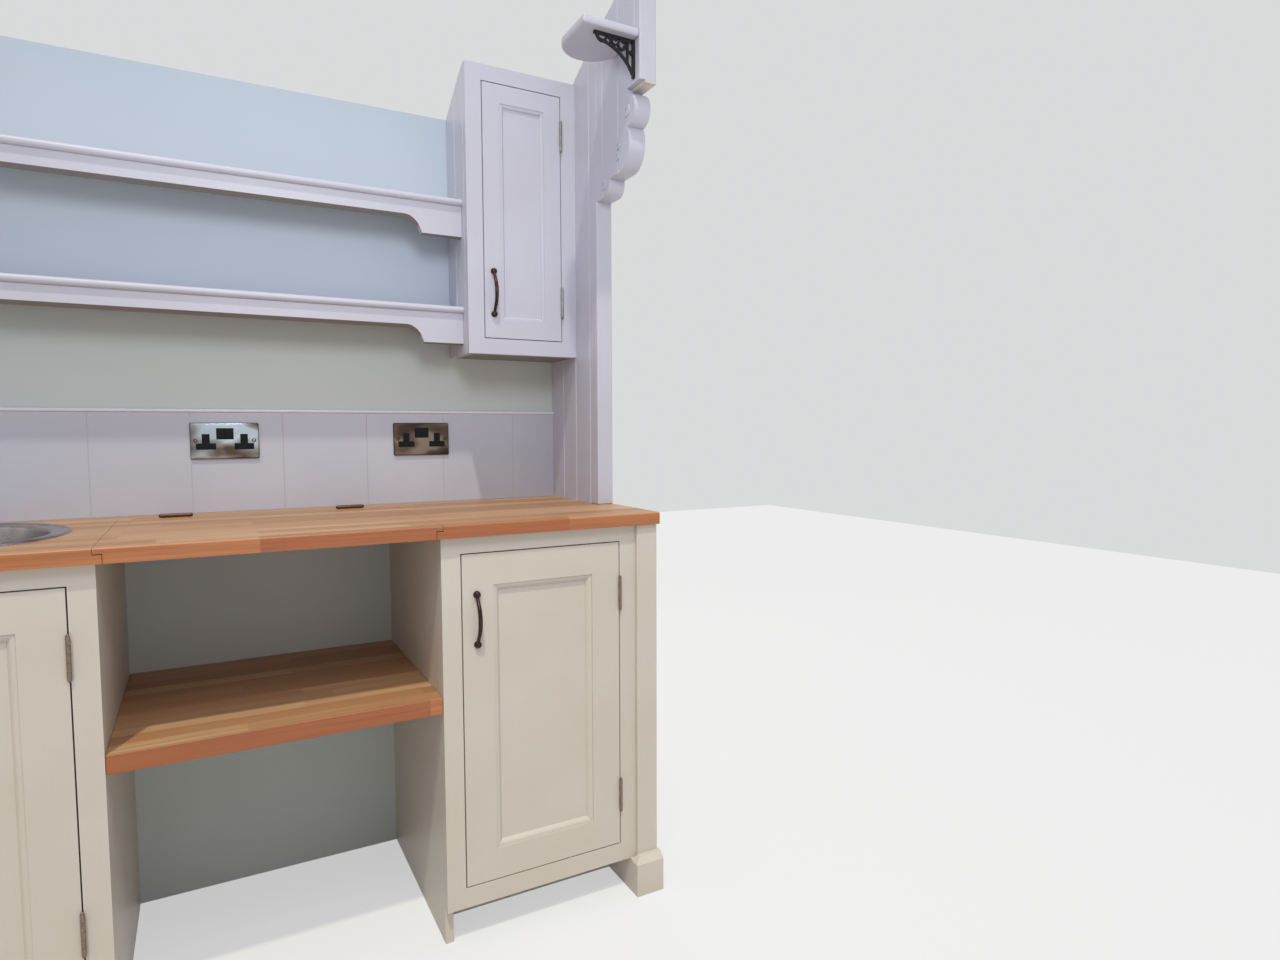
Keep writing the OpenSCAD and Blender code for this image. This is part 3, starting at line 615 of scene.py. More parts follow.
class Finishes:
    """Every finish of the kitchenette, made once."""

    def __init__(self) -> None:
        """Makes all the materials."""
        # One paint in two tones: the warm tone below and the cool tone above are painted light,
        # warm room light low down and cool light higher up.
        warm = display(203, 195, 184)
        cool = display(194, 194, 208)
        self.warm = Coat(Paint("warm_paint_up", warm, Axis.UP).material(),
                         Paint("warm_paint_along", warm, Axis.ALONG).material(), "warm_paint")
        self.cool = Coat(Paint("cool_paint_up", cool, Axis.UP).material(),
                         Paint("cool_paint_along", cool, Axis.ALONG).material(), "cool_paint")
        # The shelf and soffit paints carry painted shade on faces that look down.
        self.shelf = Paint("cool_paint_shelf", cool, Axis.ALONG, painted_under_shade=0.9,
                           under_shade_behind=WALL_Y - 129 * MM).material()
        self.soffit = Paint("cool_paint_soffit", cool, Axis.ALONG, painted_under_shade=0.9).material()
        self.wall = WallPaint("wall_paint", display(196, 205, 216),
                              display(201, 168, 122)).material()
        self.stave = StaveTimber("stave_timber").material()
        self.oven_stave = StaveTimber("oven_shelf_timber", 0.31).material()
        self.pine = SawnPine("sawn_pine").material()
        self.glaze = Glaze("white_glaze", display(187, 189, 200)).material()
        self.grout = Moulded("grout", display(186, 184, 188), 0.7, 900.0, 0.1 * MM).material()
        self.trim = Moulded("satin_trim", display(228, 229, 233), 0.26, 300.0, 0.05 * MM,
                            0.35).material()
        # Socket plates: the metals' own tints, with painted reflections clouded over them.
        self.plate = PlateWithPaintedReflections("plated_steel", (0.43, 0.49, 0.54), (0.25, 0.245, 0.24),
                                  (0.095, 0.07, 0.05)).material()
        self.antique_plate = PlateWithPaintedReflections("bronzed_steel", (0.25, 0.19, 0.15),
                                          (0.12, 0.085, 0.065), (0.055, 0.038, 0.028),
                                          0.33).material()
        # The plates' rolled edges are darkened with this metal: painted shade round each plate.
        self.rim = AgedMetal("plate_edge_painted_shade", (0.035, 0.026, 0.022), (0.12, 0.09, 0.07)).material()
        self.sink = Metal("sink_steel", (0.45, 0.41, 0.415), (0.34, 0.305, 0.305),
                          0.26).material()
        self.bronze = AgedMetal("aged_bronze", (0.034, 0.019, 0.018), (0.14, 0.085, 0.075),
                                roughness=0.27).material()
        self.brass = AgedMetal("aged_brass", (0.15, 0.105, 0.08), (0.44, 0.33, 0.26),
                               0.8).material()
        self.flap_metal = AgedMetal("flap_hinge_bronze", (0.075, 0.042, 0.03),
                                    (0.24, 0.14, 0.10), 0.7).material()
        self.pewter = AgedMetal("pewter", (0.19, 0.19, 0.20), (0.46, 0.45, 0.46),
                                0.8).material()
        self.iron = Moulded("cast_iron", (0.013, 0.011, 0.013), 0.5, 620.0, 0.25 * MM,
                            0.35).material()
        self.plastic = Moulded("black_plastic", (0.005, 0.006, 0.009), 0.42, 1400.0, 0.05 * MM,
                               0.16).material()


class Bench:
    """The modelling bench: operators as by hand, each on the pieces it is given."""

    merged = 0.02 * MM
    flat = math.radians(0.5)
    soft = math.radians(36)
    turned = math.radians(40)

    @staticmethod
    def hold(*pieces: Piece) -> None:
        """Selects the given pieces alone.

        Args:
            *pieces: The pieces, the first of which becomes the active one.
        """
        bpy.ops.object.select_all(action="DESELECT")
        for piece in pieces:
            piece.select_set(True)
        if pieces:
            bpy.context.view_layer.objects.active = pieces[0]

    @staticmethod
    @contextmanager
    def editing(piece: Piece, part: Part = Part.POINTS,
                test: Optional[Callable[..., bool]] = None) -> Iterator[None]:
        """Holds a piece in edit mode with all of it selected, or with what a test picks.

        Args:
            piece: The piece to edit.
            part: What the test is made on.
            test: Test on a point, on an edge's two ends, or on a face's middle and normal.

        Yields:
            Nothing, while the piece is in edit mode.
        """
        Bench.hold(piece)
        bpy.context.tool_settings.mesh_select_mode = [kind is part for kind in Part]
        mesh = piece.data
        if test:
            groups = (mesh.vertices, mesh.edges, mesh.polygons)
            read = (lambda point: (point.co,),
                    lambda edge: [mesh.vertices[i].co for i in edge.vertices],
                    lambda face: (face.center, face.normal))[part.value]
            for group in groups:
                for item in group:
                    item.select = False
            for item in groups[part.value]:
                item.select = test(*read(item))
        bpy.ops.object.mode_set(mode="EDIT")
        if not test:
            bpy.ops.mesh.select_all(action="SELECT")
        yield
        bpy.ops.object.mode_set(mode="OBJECT")

    @staticmethod
    def settle(name: str) -> Piece:
        """Names the new primitive, and puts its place, turn and size into its mesh.

        Args:
            name: The piece's name.

        Returns:
            The piece.
        """
        piece = bpy.context.object
        piece.name = name
        bpy.ops.object.transform_apply(location=True, rotation=True, scale=True)
        return piece

    @staticmethod
    def block(name: str, low: Sequence[float], high: Sequence[float]) -> Piece:
        """Starts a piece as a block between two corners.

        Args:
            name: The piece's name.
            low: Lowest corner.
            high: Highest corner.

        Returns:
            The block.
        """
        Bench.hold()
        middle = [(a + b) / 2 for a, b in zip(low, high)]
        bpy.ops.mesh.primitive_cube_add(size=1, location=middle)
        bpy.context.object.scale = [b - a for a, b in zip(low, high)]
        return Bench.settle(name)

    @staticmethod
    def disc(name: str, middle: Sequence[float], radius: float, depth: float,
             sides: int) -> Piece:
        """Turns a disc that faces the room.

        Args:
            name: The piece's name.
            middle: The disc's middle.
            radius: Its radius.
            depth: Its thickness.
            sides: Steps round it.

        Returns:
            The disc.
        """
        Bench.hold()
        bpy.ops.mesh.primitive_cylinder_add(vertices=sides, radius=radius, depth=depth,
                                            location=middle, rotation=(math.radians(90), 0, 0))
        return Bench.settle(name)

    @staticmethod
    def pocket(piece: Piece, faces: Callable[[Vector, Vector], bool], inset: float,
               depth: float) -> None:
        """Sinks a pocket into the faces that a test picks.

        Args:
            piece: The piece to edit.
            faces: Test on a face's middle and normal.
            inset: Width left standing round the pocket.
            depth: Depth of the pocket.
        """
        with Bench.editing(piece, Part.FACES, faces):
            bpy.ops.mesh.inset(thickness=inset, depth=0)
            bpy.ops.mesh.extrude_region_shrink_fatten(TRANSFORM_OT_shrink_fatten={"value": -depth})

    @staticmethod
    def shift(piece: Piece, points: Callable[[Vector], bool], offset: Sequence[float]) -> None:
        """Moves the points that a test picks by an offset."""
        with Bench.editing(piece, Part.POINTS, points):
            bpy.ops.transform.translate(value=offset)

    @staticmethod
    def slim(piece: Piece, x: float, y: float, reach: float, factor: float) -> None:
        """Slims what stands round an upright axis.

        Args:
            piece: The piece to edit.
            x: Place of the axis along X.
            y: Place of the axis along Y.
            reach: Furthest distance from the axis that is slimmed.
            factor: Factor on the distance from the axis.
        """
        def round_axis(point: Vector) -> bool:
            """Picks the points within reach of the axis."""
            return math.hypot(point.x - x, point.y - y) < reach

        with Bench.editing(piece, Part.POINTS, round_axis):
            bpy.ops.transform.resize(value=(factor, factor, 1), center_override=(x, y, 0))

    @staticmethod
    def score(piece: Piece, axis: Axis, places: Iterable[float]) -> Piece:
        """Scores all round a piece across an axis, and takes nothing off.

        Args:
            piece: The piece to edit.
            axis: The axis that the scored planes stand across.
            places: Where the planes stand.

        Returns:
            The same piece.
        """
        with Bench.editing(piece):
            for place in places:
                bpy.ops.mesh.select_all(action="SELECT")
                bpy.ops.mesh.bisect(plane_co=axis.by(place), plane_no=axis.by(1.0))
        return piece

    @staticmethod
    def round_edges(piece: Piece, edges: Callable[[Vector, Vector], bool], width: float,
                    segments: int = 1, profile: float = 0.5) -> None:
        """Bevels the edges that a test picks.

        Args:
            piece: The piece to edit.
            edges: Test on an edge's two ends.
            width: Width of the bevel.
            segments: Steps across the bevel.
            profile: Shape of the bevel, 0.5 round, lower hollow.
        """
        with Bench.editing(piece, Part.EDGES, edges):
            bpy.ops.mesh.bevel(offset=width, segments=segments, profile=profile, affect="EDGES")

    @staticmethod
    def cut(piece: Piece, place: Sequence[float], outward: Sequence[float]) -> None:
        """Saws off what lies outward of a place, and closes the cut."""
        with Bench.editing(piece):
            bpy.ops.mesh.bisect(plane_co=place, plane_no=outward, use_fill=True, clear_outer=True)

    @staticmethod
    def ease(piece: Piece, width: float, segments: int = 2, angle: float = 30.0) -> Piece:
        """Eases all the sharp arrises, and smooths what is round.

        Args:
            piece: The piece to finish.
            width: Width of the eased arris.
            segments: Steps across it.
            angle: Least angle between faces that counts as sharp, in degrees.

        Returns:
            The same piece.
        """
        Bench.hold(piece)
        bevel = piece.modifiers.new("Eased arris", "BEVEL")
        bevel.width = width
        bevel.segments = segments
        bevel.limit_method = "ANGLE"
        bevel.angle_limit = math.radians(angle)
        bpy.ops.object.modifier_apply(modifier=bevel.name)
        bpy.ops.object.shade_smooth_by_angle(angle=Bench.soft)
        flat = piece.modifiers.new("Flat faces", "WEIGHTED_NORMAL")
        flat.keep_sharp = True
        bpy.ops.object.modifier_apply(modifier=flat.name)
        return piece

    @staticmethod
    def join(name: str, pieces: Sequence[Piece]) -> Piece:
        """Joins pieces into one mesh.

        Args:
            name: Name of the joined piece.
            pieces: What to join, the first of which stays.

        Returns:
            The joined piece.
        """
        Bench.hold(*pieces)
        bpy.ops.object.join()
        joined = bpy.context.view_layer.objects.active
        joined.name = name
        joined.data.name = name
        return joined

    @staticmethod
    def copy_of(node: str, ending: str) -> Piece:
        """Copies a construction node's mesh, with its triangles joined into faces.

        Args:
            node: The construction node.
            ending: What its name gains.

        Returns:
            The copy.
        """
        piece = bpy.data.objects.new(f"{node}_{ending}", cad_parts[node].data.copy())
        bpy.context.scene.collection.objects.link(piece)
        piece.data.materials.clear()
        with Bench.editing(piece):
            bpy.ops.mesh.customdata_custom_splitnormals_clear()
            bpy.ops.mesh.remove_doubles(threshold=Bench.merged)
            bpy.ops.mesh.dissolve_limited(angle_limit=Bench.flat)
        return piece

    @staticmethod
    def lathe(name: str, middle: Sequence[float], rings: Sequence[tuple[float, float]],
              sides: int) -> Piece:
        """Turns a closed profile about an upright axis.

        Args:
            name: The piece's name.
            middle: A point on the axis, which heights are measured from.
            rings: The profile as radius and height, round to its first point.
            sides: Steps round the axis.

        Returns:
            The turned piece.
        """
        Bench.hold()
        radius, height = rings[0]
        x, y, z = middle
        bpy.ops.mesh.primitive_circle_add(vertices=sides, radius=radius,
                                          location=(x, y, z + height))
        piece = Bench.settle(name)
        with Bench.editing(piece, Part.EDGES):
            for next_radius, next_height in [*rings[1:], rings[0]]:
                bpy.ops.mesh.extrude_region_move(
                    TRANSFORM_OT_translate={"value": (0, 0, next_height - height)})
                factor = next_radius / radius
                bpy.ops.transform.resize(value=(factor, factor, 1), center_override=(x, y, z))
                radius, height = next_radius, next_height
            bpy.ops.mesh.select_all(action="SELECT")
            bpy.ops.mesh.remove_doubles(threshold=Bench.merged / 2)
            bpy.ops.mesh.normals_make_consistent(inside=False)
        bpy.ops.object.shade_smooth_by_angle(angle=Bench.turned)
        return piece


def paint(piece: Piece, *materials: Material) -> Piece:
    """Gives a piece its materials, of which its faces take the first.

    Args:
        piece: The piece.
        *materials: Its materials.

    Returns:
        The same piece.
    """
    piece.data.materials.clear()
    for material in materials:
        piece.data.materials.append(material)
    return piece


def brush(piece: Piece, coat: Coat, left: float, right: float) -> Piece:
    """Paints a frame with the brush: upright on the stiles, along on the rails.

    Args:
        piece: The frame or framed door.
        coat: The paint.
        left: Inner edge of the left stile.
        right: Inner edge of the right stile.

    Returns:
        The same piece.
    """
    paint(piece, coat.up, coat.along)
    for face in piece.data.polygons:
        face.material_index = int(left < face.center.x < right)
    return piece


def fit(piece: Piece, body: Body, slot: str, node: str) -> None:
    """Hands a finished piece to its body, and reports it.

    Args:
        piece: The finished piece.
        body: The body that it rides on.
        slot: Not used.
        node: The construction node that it stands for.
    """
    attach(piece, body.value)
    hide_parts(node)
    LOG.info("%s: %d faces on %s", piece.name, len(piece.data.polygons), body.value)


def keep(node: str, material: Material) -> None:
    """Gives a construction node that stays its material, and reports it."""
    paint(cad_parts[node], material)
    LOG.info("%s: kept from the construction", node)


def eased(node: str, width: float, material: Material, slot: str, segments: int = 3,
          angle: float = 30.0, ending: str = "eased") -> None:
    """Stands an eased copy in for a fixed construction node.

    Args:
        node: The construction node.
        width: Width of its eased arrises.
        material: Its finish.
        slot: The record's material slot.
        segments: Steps across an arris.
        angle: Least angle between faces that is eased, in degrees.
        ending: What the copy's name gains.
    """
    piece = Bench.ease(Bench.copy_of(node, ending), width, segments, angle)
    fit(paint(piece, material), Body.FIXED, slot, node)


def lengths(low: float, high: float, joints: Iterable[float]) -> list[tuple[float, float]]:
    """Splits a run at its joints, and leaves no sliver at either end."""
    inner = sorted(joint for joint in joints if low + LEAST_BOARD < joint < high - LEAST_BOARD)
    return list(zip([low, *inner], [*inner, high]))


@dataclass(frozen=True)
class Vault:
    """The barrel ceiling line that the tops of the boards follow."""

    radius: float = 2.030
    middle: float = 1.089
    centre_z: float = 0.228

    def height(self, y: float) -> float:
        """Gives the ceiling's height at a place between the wall and the room."""
        return self.centre_z + math.sqrt(self.radius**2 - (self.middle - (WALL_Y - y)) ** 2)


@dataclass
class Boarding:
    """Matchboarding with a V at each joint, in place of one construction node."""

    node: str
    joints: Sequence[float]
    material: Material
    slot: str
    vault: Optional[Vault] = None
    vee: float = 3.2 * MM

    def build(self) -> None:
        """Sets the boards side by side, with bevelled edges and tops cut along the ceiling."""
        low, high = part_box(self.node)
        boards = []
        for start, end in lengths(low.y, high.y, self.joints):
            board = Bench.block("board", (low.x, start, low.z), (high.x, end, high.z))
            Bench.round_edges(board, Axis.UP.runs, self.vee)
            if self.vault:
                top = self.vault.height(start)
                Bench.cut(board, (low.x, start, top),
                          (0.0, top - self.vault.height(end), end - start))
            boards.append(paint(board, self.material))
        fit(Bench.join(f"{self.node}_boarding", boards), Body.FIXED, self.slot, self.node)


@dataclass
class FaceFrame:
    """A cupboard's face frame: two stiles and the rails between them."""

    node: str
    door: str
    coat: Coat
    closer: float = 1.2 * MM
    gap: float = 5 * MM
    eased: float = 0.5 * MM

    def build(self) -> None:
        """Closes the frame up to its door and eases its arrises."""
        joinery = Bench.copy_of(self.node, "joinery")
        low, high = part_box(self.door)
        left, right = low.x - self.gap, high.x + self.gap
        for axis, place, way in ((Axis.ALONG, left, 1), (Axis.ALONG, right, -1),
                                 (Axis.UP, low.z - self.gap, 1), (Axis.UP, high.z + self.gap, -1)):
            Bench.shift(joinery, axis.at(place), axis.by(way * self.closer))
        edges = (left + self.closer, right - self.closer)
        Bench.ease(Bench.score(joinery, Axis.ALONG, edges), self.eased)
        fit(brush(joinery, self.coat, *edges), Body.FIXED, self.coat.slot, self.node)


@dataclass
class FramedDoor:
    """A framed door with a recessed panel and a mitred moulding round it."""

    node: str
    body: Body
    member: float
    coat: Coat
    recess: float = 11 * MM
    panel: float = 7.5 * MM
    moulding: float = 13.5 * MM
    step: float = 2.6 * MM
    slope: float = 8.2 * MM
    closer: float = 1.4 * MM
    eased: float = 0.5 * MM
    moulding_eased: float = 0.25 * MM

    def build(self) -> None:
        """Makes the framed door and plants the moulding round its panel."""
        low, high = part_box(self.node)
        grown = Vector((self.closer, 0, self.closer))
        door = Bench.block(f"{self.node}_joinery", low - grown, high + grown)
        width = self.member + self.closer
        behind = high.y - low.y - self.recess - self.panel
        Bench.pocket(door, Axis.OUT.faced(-1), width, self.recess)
        Bench.pocket(door, Axis.OUT.faced(1), width, behind)
        inner_low = Vector((low.x + self.member, low.y, low.z + self.member))
        inner_high = Vector((high.x - self.member, high.y, high.z - self.member))
        edges = (inner_low.x, inner_high.x)
        brush(Bench.score(door, Axis.ALONG, edges), self.coat, *edges)
        for face in door.data.polygons:
            sunk = face.center.y - low.y - self.recess
            if abs(sunk) < NEAR or abs(sunk - self.panel) < NEAR:
                face.material_index = 0
        Bench.ease(door, self.eased)
        parts = [door, *self.mouldings(inner_low, inner_high, low.y + self.recess)]
        fit(Bench.join(door.name, parts), self.body, self.coat.slot, self.node)

    def mouldings(self, low: Vector, high: Vector, face: float) -> list[Piece]:
        """Makes the four lengths of moulding, mitred at 45 degrees.

        Args:
            low: Lowest corner of the panel opening.
            high: Highest corner of the panel opening.
            face: The panel's face, as its distance along Y.

        Returns:
            The four lengths.
        """
        front = face - self.recess + self.step
        made = []
        for axis, across, fixed, way in (
                (Axis.ALONG, Axis.UP, low.z, 1), (Axis.ALONG, Axis.UP, high.z, -1),
                (Axis.UP, Axis.ALONG, low.x, 1), (Axis.UP, Axis.ALONG, high.x, -1)):
            side = across.value
            inner = fixed + way * self.moulding
            first, last = [low.x, front, low.z], [high.x, face, high.z]
            first[side], last[side] = sorted((fixed, inner))
            bar = Bench.block("moulding", first, last)

            def front_inner(a: Vector, b: Vector) -> bool:
                """Picks the edge in front, on the panel's side."""
                middle = (a + b) / 2
                return (Axis.OUT.at(front)(middle) and across.at(inner)(middle)
                        and axis.runs(a, b))

            Bench.round_edges(bar, front_inner, self.slope, 4, 0.33)
            for corner, outward in ((low, -1), (high, 1)):
                place, normal = [corner.x, 0, corner.z], axis.by(outward)
                place[side], normal[side] = fixed, way
                Bench.cut(bar, place, normal)
            Bench.ease(bar, self.moulding_eased, 1, 50.0)
            made.append(paint(bar, self.coat.along if axis is Axis.ALONG else self.coat.up))
        return made


@dataclass
class BowHandle:
    """A bow handle with flattened ball feet and a bar that swells in the middle."""

    node: str
    body: Body
    material: Material
    foot: float = 8 * MM
    ball_in: float = 0.4 * MM
    collar: float = 2 * MM
    flatness: float = 0.72
    bar: float = 4.7 * MM
    neck: float = 0.74
    start: float = 5 * MM
    lean: float = 1.5 * MM
    rise: float = 0.34
    sweep: float = 0.62

    def build(self) -> None:
        """Bends the bar and sets it on its feet."""
        low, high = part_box(self.node)
        x = (low.x + high.x) / 2
        feet_z = (low.z + self.foot, high.z - self.foot)
        parts = [self.bow(x, high.y - self.start, low.y + self.bar, *feet_z)]
        for z in feet_z:
            parts.append(self.ball(x, high.y - self.start, z))
            collar = Bench.disc("collar", (x, high.y - self.collar / 2, z), self.foot,
                                self.collar, 32)
            parts.append(Bench.ease(collar, 0.6 * MM))
        fit(paint(Bench.join(f"{self.node}_bow", parts), self.material), self.body,
            "aged_bronze", self.node)

    def bow(self, x: float, start: float, out: float, low_z: float, high_z: float) -> Piece:
        """Sweeps the bar, which leaves each foot along the door and bows over.

        Args:
            x: Place of the handle along the run.
            start: Line of the bar's middle at the feet.
            out: Furthest line of the bar's middle.
            low_z: Height of the lower foot.
            high_z: Height of the upper foot.

        Returns:
            The bar.
        """
        Bench.hold()
        bpy.ops.curve.primitive_bezier_curve_add(location=(0, 0, 0))
        curve = bpy.context.object
        spline = curve.data.splines[0]
        spline.bezier_points.add(1)
        reach = (high_z - low_z) / 2
        places = ((x, start, low_z), (x, out, (low_z + high_z) / 2), (x, start, high_z))
        leans = ((0, -self.lean, reach * self.rise), (0, 0, reach * self.sweep),
                 (0, self.lean, reach * self.rise))
        swells = (self.neck, 1.0, self.neck)
        for point, place, lean, swell in zip(spline.bezier_points, places, leans, swells):
            point.handle_left_type = point.handle_right_type = "FREE"
            point.co = place
            point.handle_left = Vector(place) - Vector(lean)
            point.handle_right = Vector(place) + Vector(lean)
            point.radius = swell
        spline.resolution_u = 18
        curve.data.dimensions = "3D"
        curve.data.bevel_depth = self.bar
        curve.data.bevel_resolution = 5
        curve.data.use_fill_caps = True
        bpy.ops.object.convert(target="MESH")
        bpy.ops.object.shade_smooth()
        return bpy.context.object

    def ball(self, x: float, y: float, z: float) -> Piece:
        """Turns one flattened ball foot.

        Args:
            x: Its middle along the run.
            y: Its middle out from the wall.
            z: Its height.

        Returns:
            The foot.
        """
        Bench.hold()
        bpy.ops.mesh.primitive_uv_sphere_add(segments=28, ring_count=16, location=(x, y, z),
                                             radius=self.foot - self.ball_in)
        bpy.context.object.rotation_euler = (math.radians(90), 0, 0)
        bpy.context.object.scale = (1, 1, self.flatness)
        ball = Bench.settle("ball")
        bpy.ops.object.shade_smooth()
        return ball


@dataclass
class Butts:
    """The leaves and knuckles of butt hinges."""

    node: str
    body: Body
    slot: str
    material: Material
    doors: Sequence[str] = ()
    flap_material: Optional[Material] = None
    flap_z: float = 0.86
    pin_x: float = 2.5 * MM
    pin_out: float = 4.5 * MM
    knuckle: float = 4.7 * MM
    slimmer: float = 0.8
    eased: float = 0.3 * MM

    def build(self) -> None:
        """Slims the knuckles, eases the edges and gives the hinges their metal."""
        leaves = Bench.copy_of(self.node, "eased")
        for door in self.doors:
            low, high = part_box(door)
            Bench.slim(leaves, high.x + self.pin_x, low.y - self.pin_out, self.knuckle,
                       self.slimmer)
        Bench.ease(leaves, self.eased, 2, 40.0)
        paint(leaves, self.material)
        if self.flap_material:
            leaves.data.materials.append(self.flap_material)
            for face in leaves.data.polygons:
                face.material_index = int(face.center.z > self.flap_z)
        fit(leaves, self.body, self.slot, self.node)


@dataclass
class BaseUnits:
    """The two base cupboards with the open bay and its thick shelf between them."""

    finishes: Finishes
    member: float = 68 * MM

    def build(self) -> None:
        """Builds doors, frames, boards, posts, plinths and the oven shelf."""
        f = self.finishes
        warm = f.warm
        for side, body in (("left", Body.LEFT_DOOR), ("right", Body.RIGHT_DOOR)):
            FramedDoor(f"{side}_door", body, self.member, warm).build()
            FaceFrame(f"{side}_face_frame", f"{side}_door", warm).build()
            BowHandle(f"{side}_door_handle", body, f.bronze).build()
            eased(f"{side}_bay_side", 1.2 * MM, warm.up, warm.slot)
            Butts(f"{side}_door_leaves", body, "aged_brass", f.brass, [f"{side}_door"]).build()
        Boarding("left_end_boards", BOARD_JOINTS, warm.up, warm.slot).build()
        eased("left_end_post", 3 * MM, warm.up, warm.slot)
        eased("kick_boards", 1 * MM, warm.along, warm.slot)
        eased("cupboard_floors", 1 * MM, warm.along, warm.slot)
        eased("plinth_blocks", 1.6 * MM, warm.up, warm.slot)
        eased("oven_shelf", 2.2 * MM, f.oven_stave, "stave_wood", ending="staves")
        Butts("base_frame_leaves", Body.FIXED, "aged_brass", f.brass, ["left_door", "right_door"],
              f.flap_metal).build()


@dataclass
class Sink:
    """The round inset sink, turned as one sheet with a rolled rim.

    Its profiles are in millimetres: the rim's in from its outline, the shoulder's and the
    outer face's out from the bowl's side, and all of them up from the worktop.
    """

    material: Material
    bowl: float = 0.190
    depth: float = 0.160
    curve: float = 0.040
    waste: float = 0.024
    sheet: float = 2 * MM
    lip: float = 5 * MM
    rim: Sequence[tuple[float, float]] = ((0, 0), (1.2, 2.2), (2.8, 4.2), (4.6, 5), (6.6, 4.7),
                                          (9, 3.1), (11.5, 2.1), (14, 1.9))
    shoulder: Sequence[tuple[float, float]] = ((7, 1.7), (3.5, 1.0), (1.2, -1.2), (0, -5))
    outer: Sequence[tuple[float, float]] = ((2, -5), (4, -0.9), (8, 0))
    steps: int = 7

    def build(self) -> None:
        """Turns the bowl with its rolled rim."""
        low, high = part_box("sink_bowl")
        radius = (high.x - low.x) / 2
        rings = [(radius - inwards * MM, up * MM) for inwards, up in self.rim]
        rings += [(self.bowl + out * MM, up * MM) for out, up in self.shoulder]
        rings += self.curved(0.0)
        rings += [(self.waste, -self.depth), (self.waste - self.sheet, -self.depth - self.sheet)]
        rings += reversed(self.curved(self.sheet))
        rings += [(self.bowl + out * MM, up * MM) for out, up in self.outer]
        middle = ((low.x + high.x) / 2, (low.y + high.y) / 2, high.z - self.lip)
        piece = Bench.lathe("sink_bowl_turned", middle, rings, 96)
        fit(paint(piece, self.material), Body.FIXED, "sink_steel", "sink_bowl")

    def curved(self, thick: float) -> list[tuple[float, float]]:
        """Gives the curve from the bowl's side to its floor.

        Args:
            thick: How far outside the bowl's inner face it runs.

        Returns:
            The curve as radius and height.
        """
        reach = self.curve + thick
        turns = [math.radians(90 * i / self.steps) for i in range(self.steps + 1)]
        return [(self.bowl + thick - reach * (1 - math.cos(turn)),
                 -self.depth - thick + reach * (1 - math.sin(turn))) for turn in turns]


@dataclass
class Worktop:
    """The staved worktop, its lifting flap with flush hinges, and the round sink."""

    finishes: Finishes
    eased: float = 0.35 * MM
    rounded: float = 2.4 * MM
    lap: float = 14 * MM
    lip: float = 12 * MM
    side_closer: float = 4.4 * MM
    lap_closer: float = 4.0 * MM
    back_closer: float = 4.2 * MM
    lip_closer: float = 1.2 * MM

    def build(self) -> None:
        """Builds the timber, the flap and the sink."""
        f = self.finishes
        top = self.dressed(Bench.copy_of("worktop", "staves"))
        fit(paint(top, f.stave), Body.FIXED, "stave_wood", "worktop")
        flap = Bench.copy_of("worktop_flap", "staves")
        low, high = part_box("worktop_flap")
        for side, way in ((low.x, -1), (high.x, 1)):
            for inwards, closer in ((0.0, self.side_closer), (self.lap, self.lap_closer)):
                Bench.shift(flap, Axis.ALONG.at(side - way * inwards), Axis.ALONG.by(way * closer))
        Bench.shift(flap, Axis.OUT.at(high.y), Axis.OUT.by(self.back_closer))
        Bench.shift(flap, Axis.UP.at(high.z - self.lip), Axis.UP.by(self.lip_closer))
        fit(paint(self.dressed(flap), f.stave), Body.FLAP, "stave_wood", "worktop_flap")
        Butts("flap_leaves", Body.FLAP, "aged_bronze", f.flap_metal).build()
        Sink(f.sink).build()
        keep("sink_waste", f.sink)

    def dressed(self, board: Piece) -> Piece:
        """Rounds a board's long front arris and eases the others.

        Args:
            board: The board.

        Returns:
            The same piece.
        """
        low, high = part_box("worktop")

        def front_arris(a: Vector, b: Vector) -> bool:
            """Picks the long arris at the top of the front edge."""
            in_front = max(a.y, b.y) < low.y + NEAR
            return in_front and min(a.z, b.z) > high.z - NEAR and Axis.ALONG.runs(a, b)

        Bench.round_edges(board, front_arris, self.rounded, 4)
        return Bench.ease(board, self.eased, 2, 50.0)


@dataclass
class Splashback:
    """One row of glazed tiles, grouted, with a polished trim on top."""

    finishes: Finishes
    first_joint: float = -0.1118
    pitch: float = 0.1985
    joint: float = 1.7 * MM
    set_back: float = 1 * MM
    under_trim: float = 0.6 * MM
    grout_in: float = 0.45 * MM
    nose_r: float = 3.4 * MM
    tile_eased: float = 0.5 * MM
    edge_eased: float = 0.2 * MM

    def build(self) -> None:
        """Sets the tiles, the grout and the trim."""
        f = self.finishes
        low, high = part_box("splashback")
        joints = [self.first_joint + i * self.pitch for i in range(-4, 5)]
        tiles = []
        for start, end in lengths(low.x, high.x, joints):
            tile = Bench.block("tile", (start + self.joint / 2, low.y, low.z + self.joint),
                               (end - self.joint / 2, high.y - self.set_back,
                                high.z - self.under_trim))
            tiles.append(paint(Bench.ease(tile, self.tile_eased), f.glaze))
        grout = Bench.block("grout", (low.x, low.y + self.grout_in, low.z), high)
        tiles.append(paint(Bench.ease(grout, self.edge_eased, 1), f.grout))
        fit(Bench.join("splashback_tiles", tiles), Body.FIXED, "glazed_tile", "splashback")
        trim = Bench.copy_of("tile_trim", "rounded")
        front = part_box("tile_trim")[0].y

        def nose(a: Vector, b: Vector) -> bool:
            """Picks the long edges at the trim's front."""
            return Axis.ALONG.runs(a, b) and max(a.y, b.y) < front + NEAR

        Bench.round_edges(trim, nose, self.nose_r, 5)
        Bench.ease(trim, self.edge_eased, 1, 60.0)
        fit(paint(trim, f.trim), Body.FIXED, "trim_steel", "tile_trim")


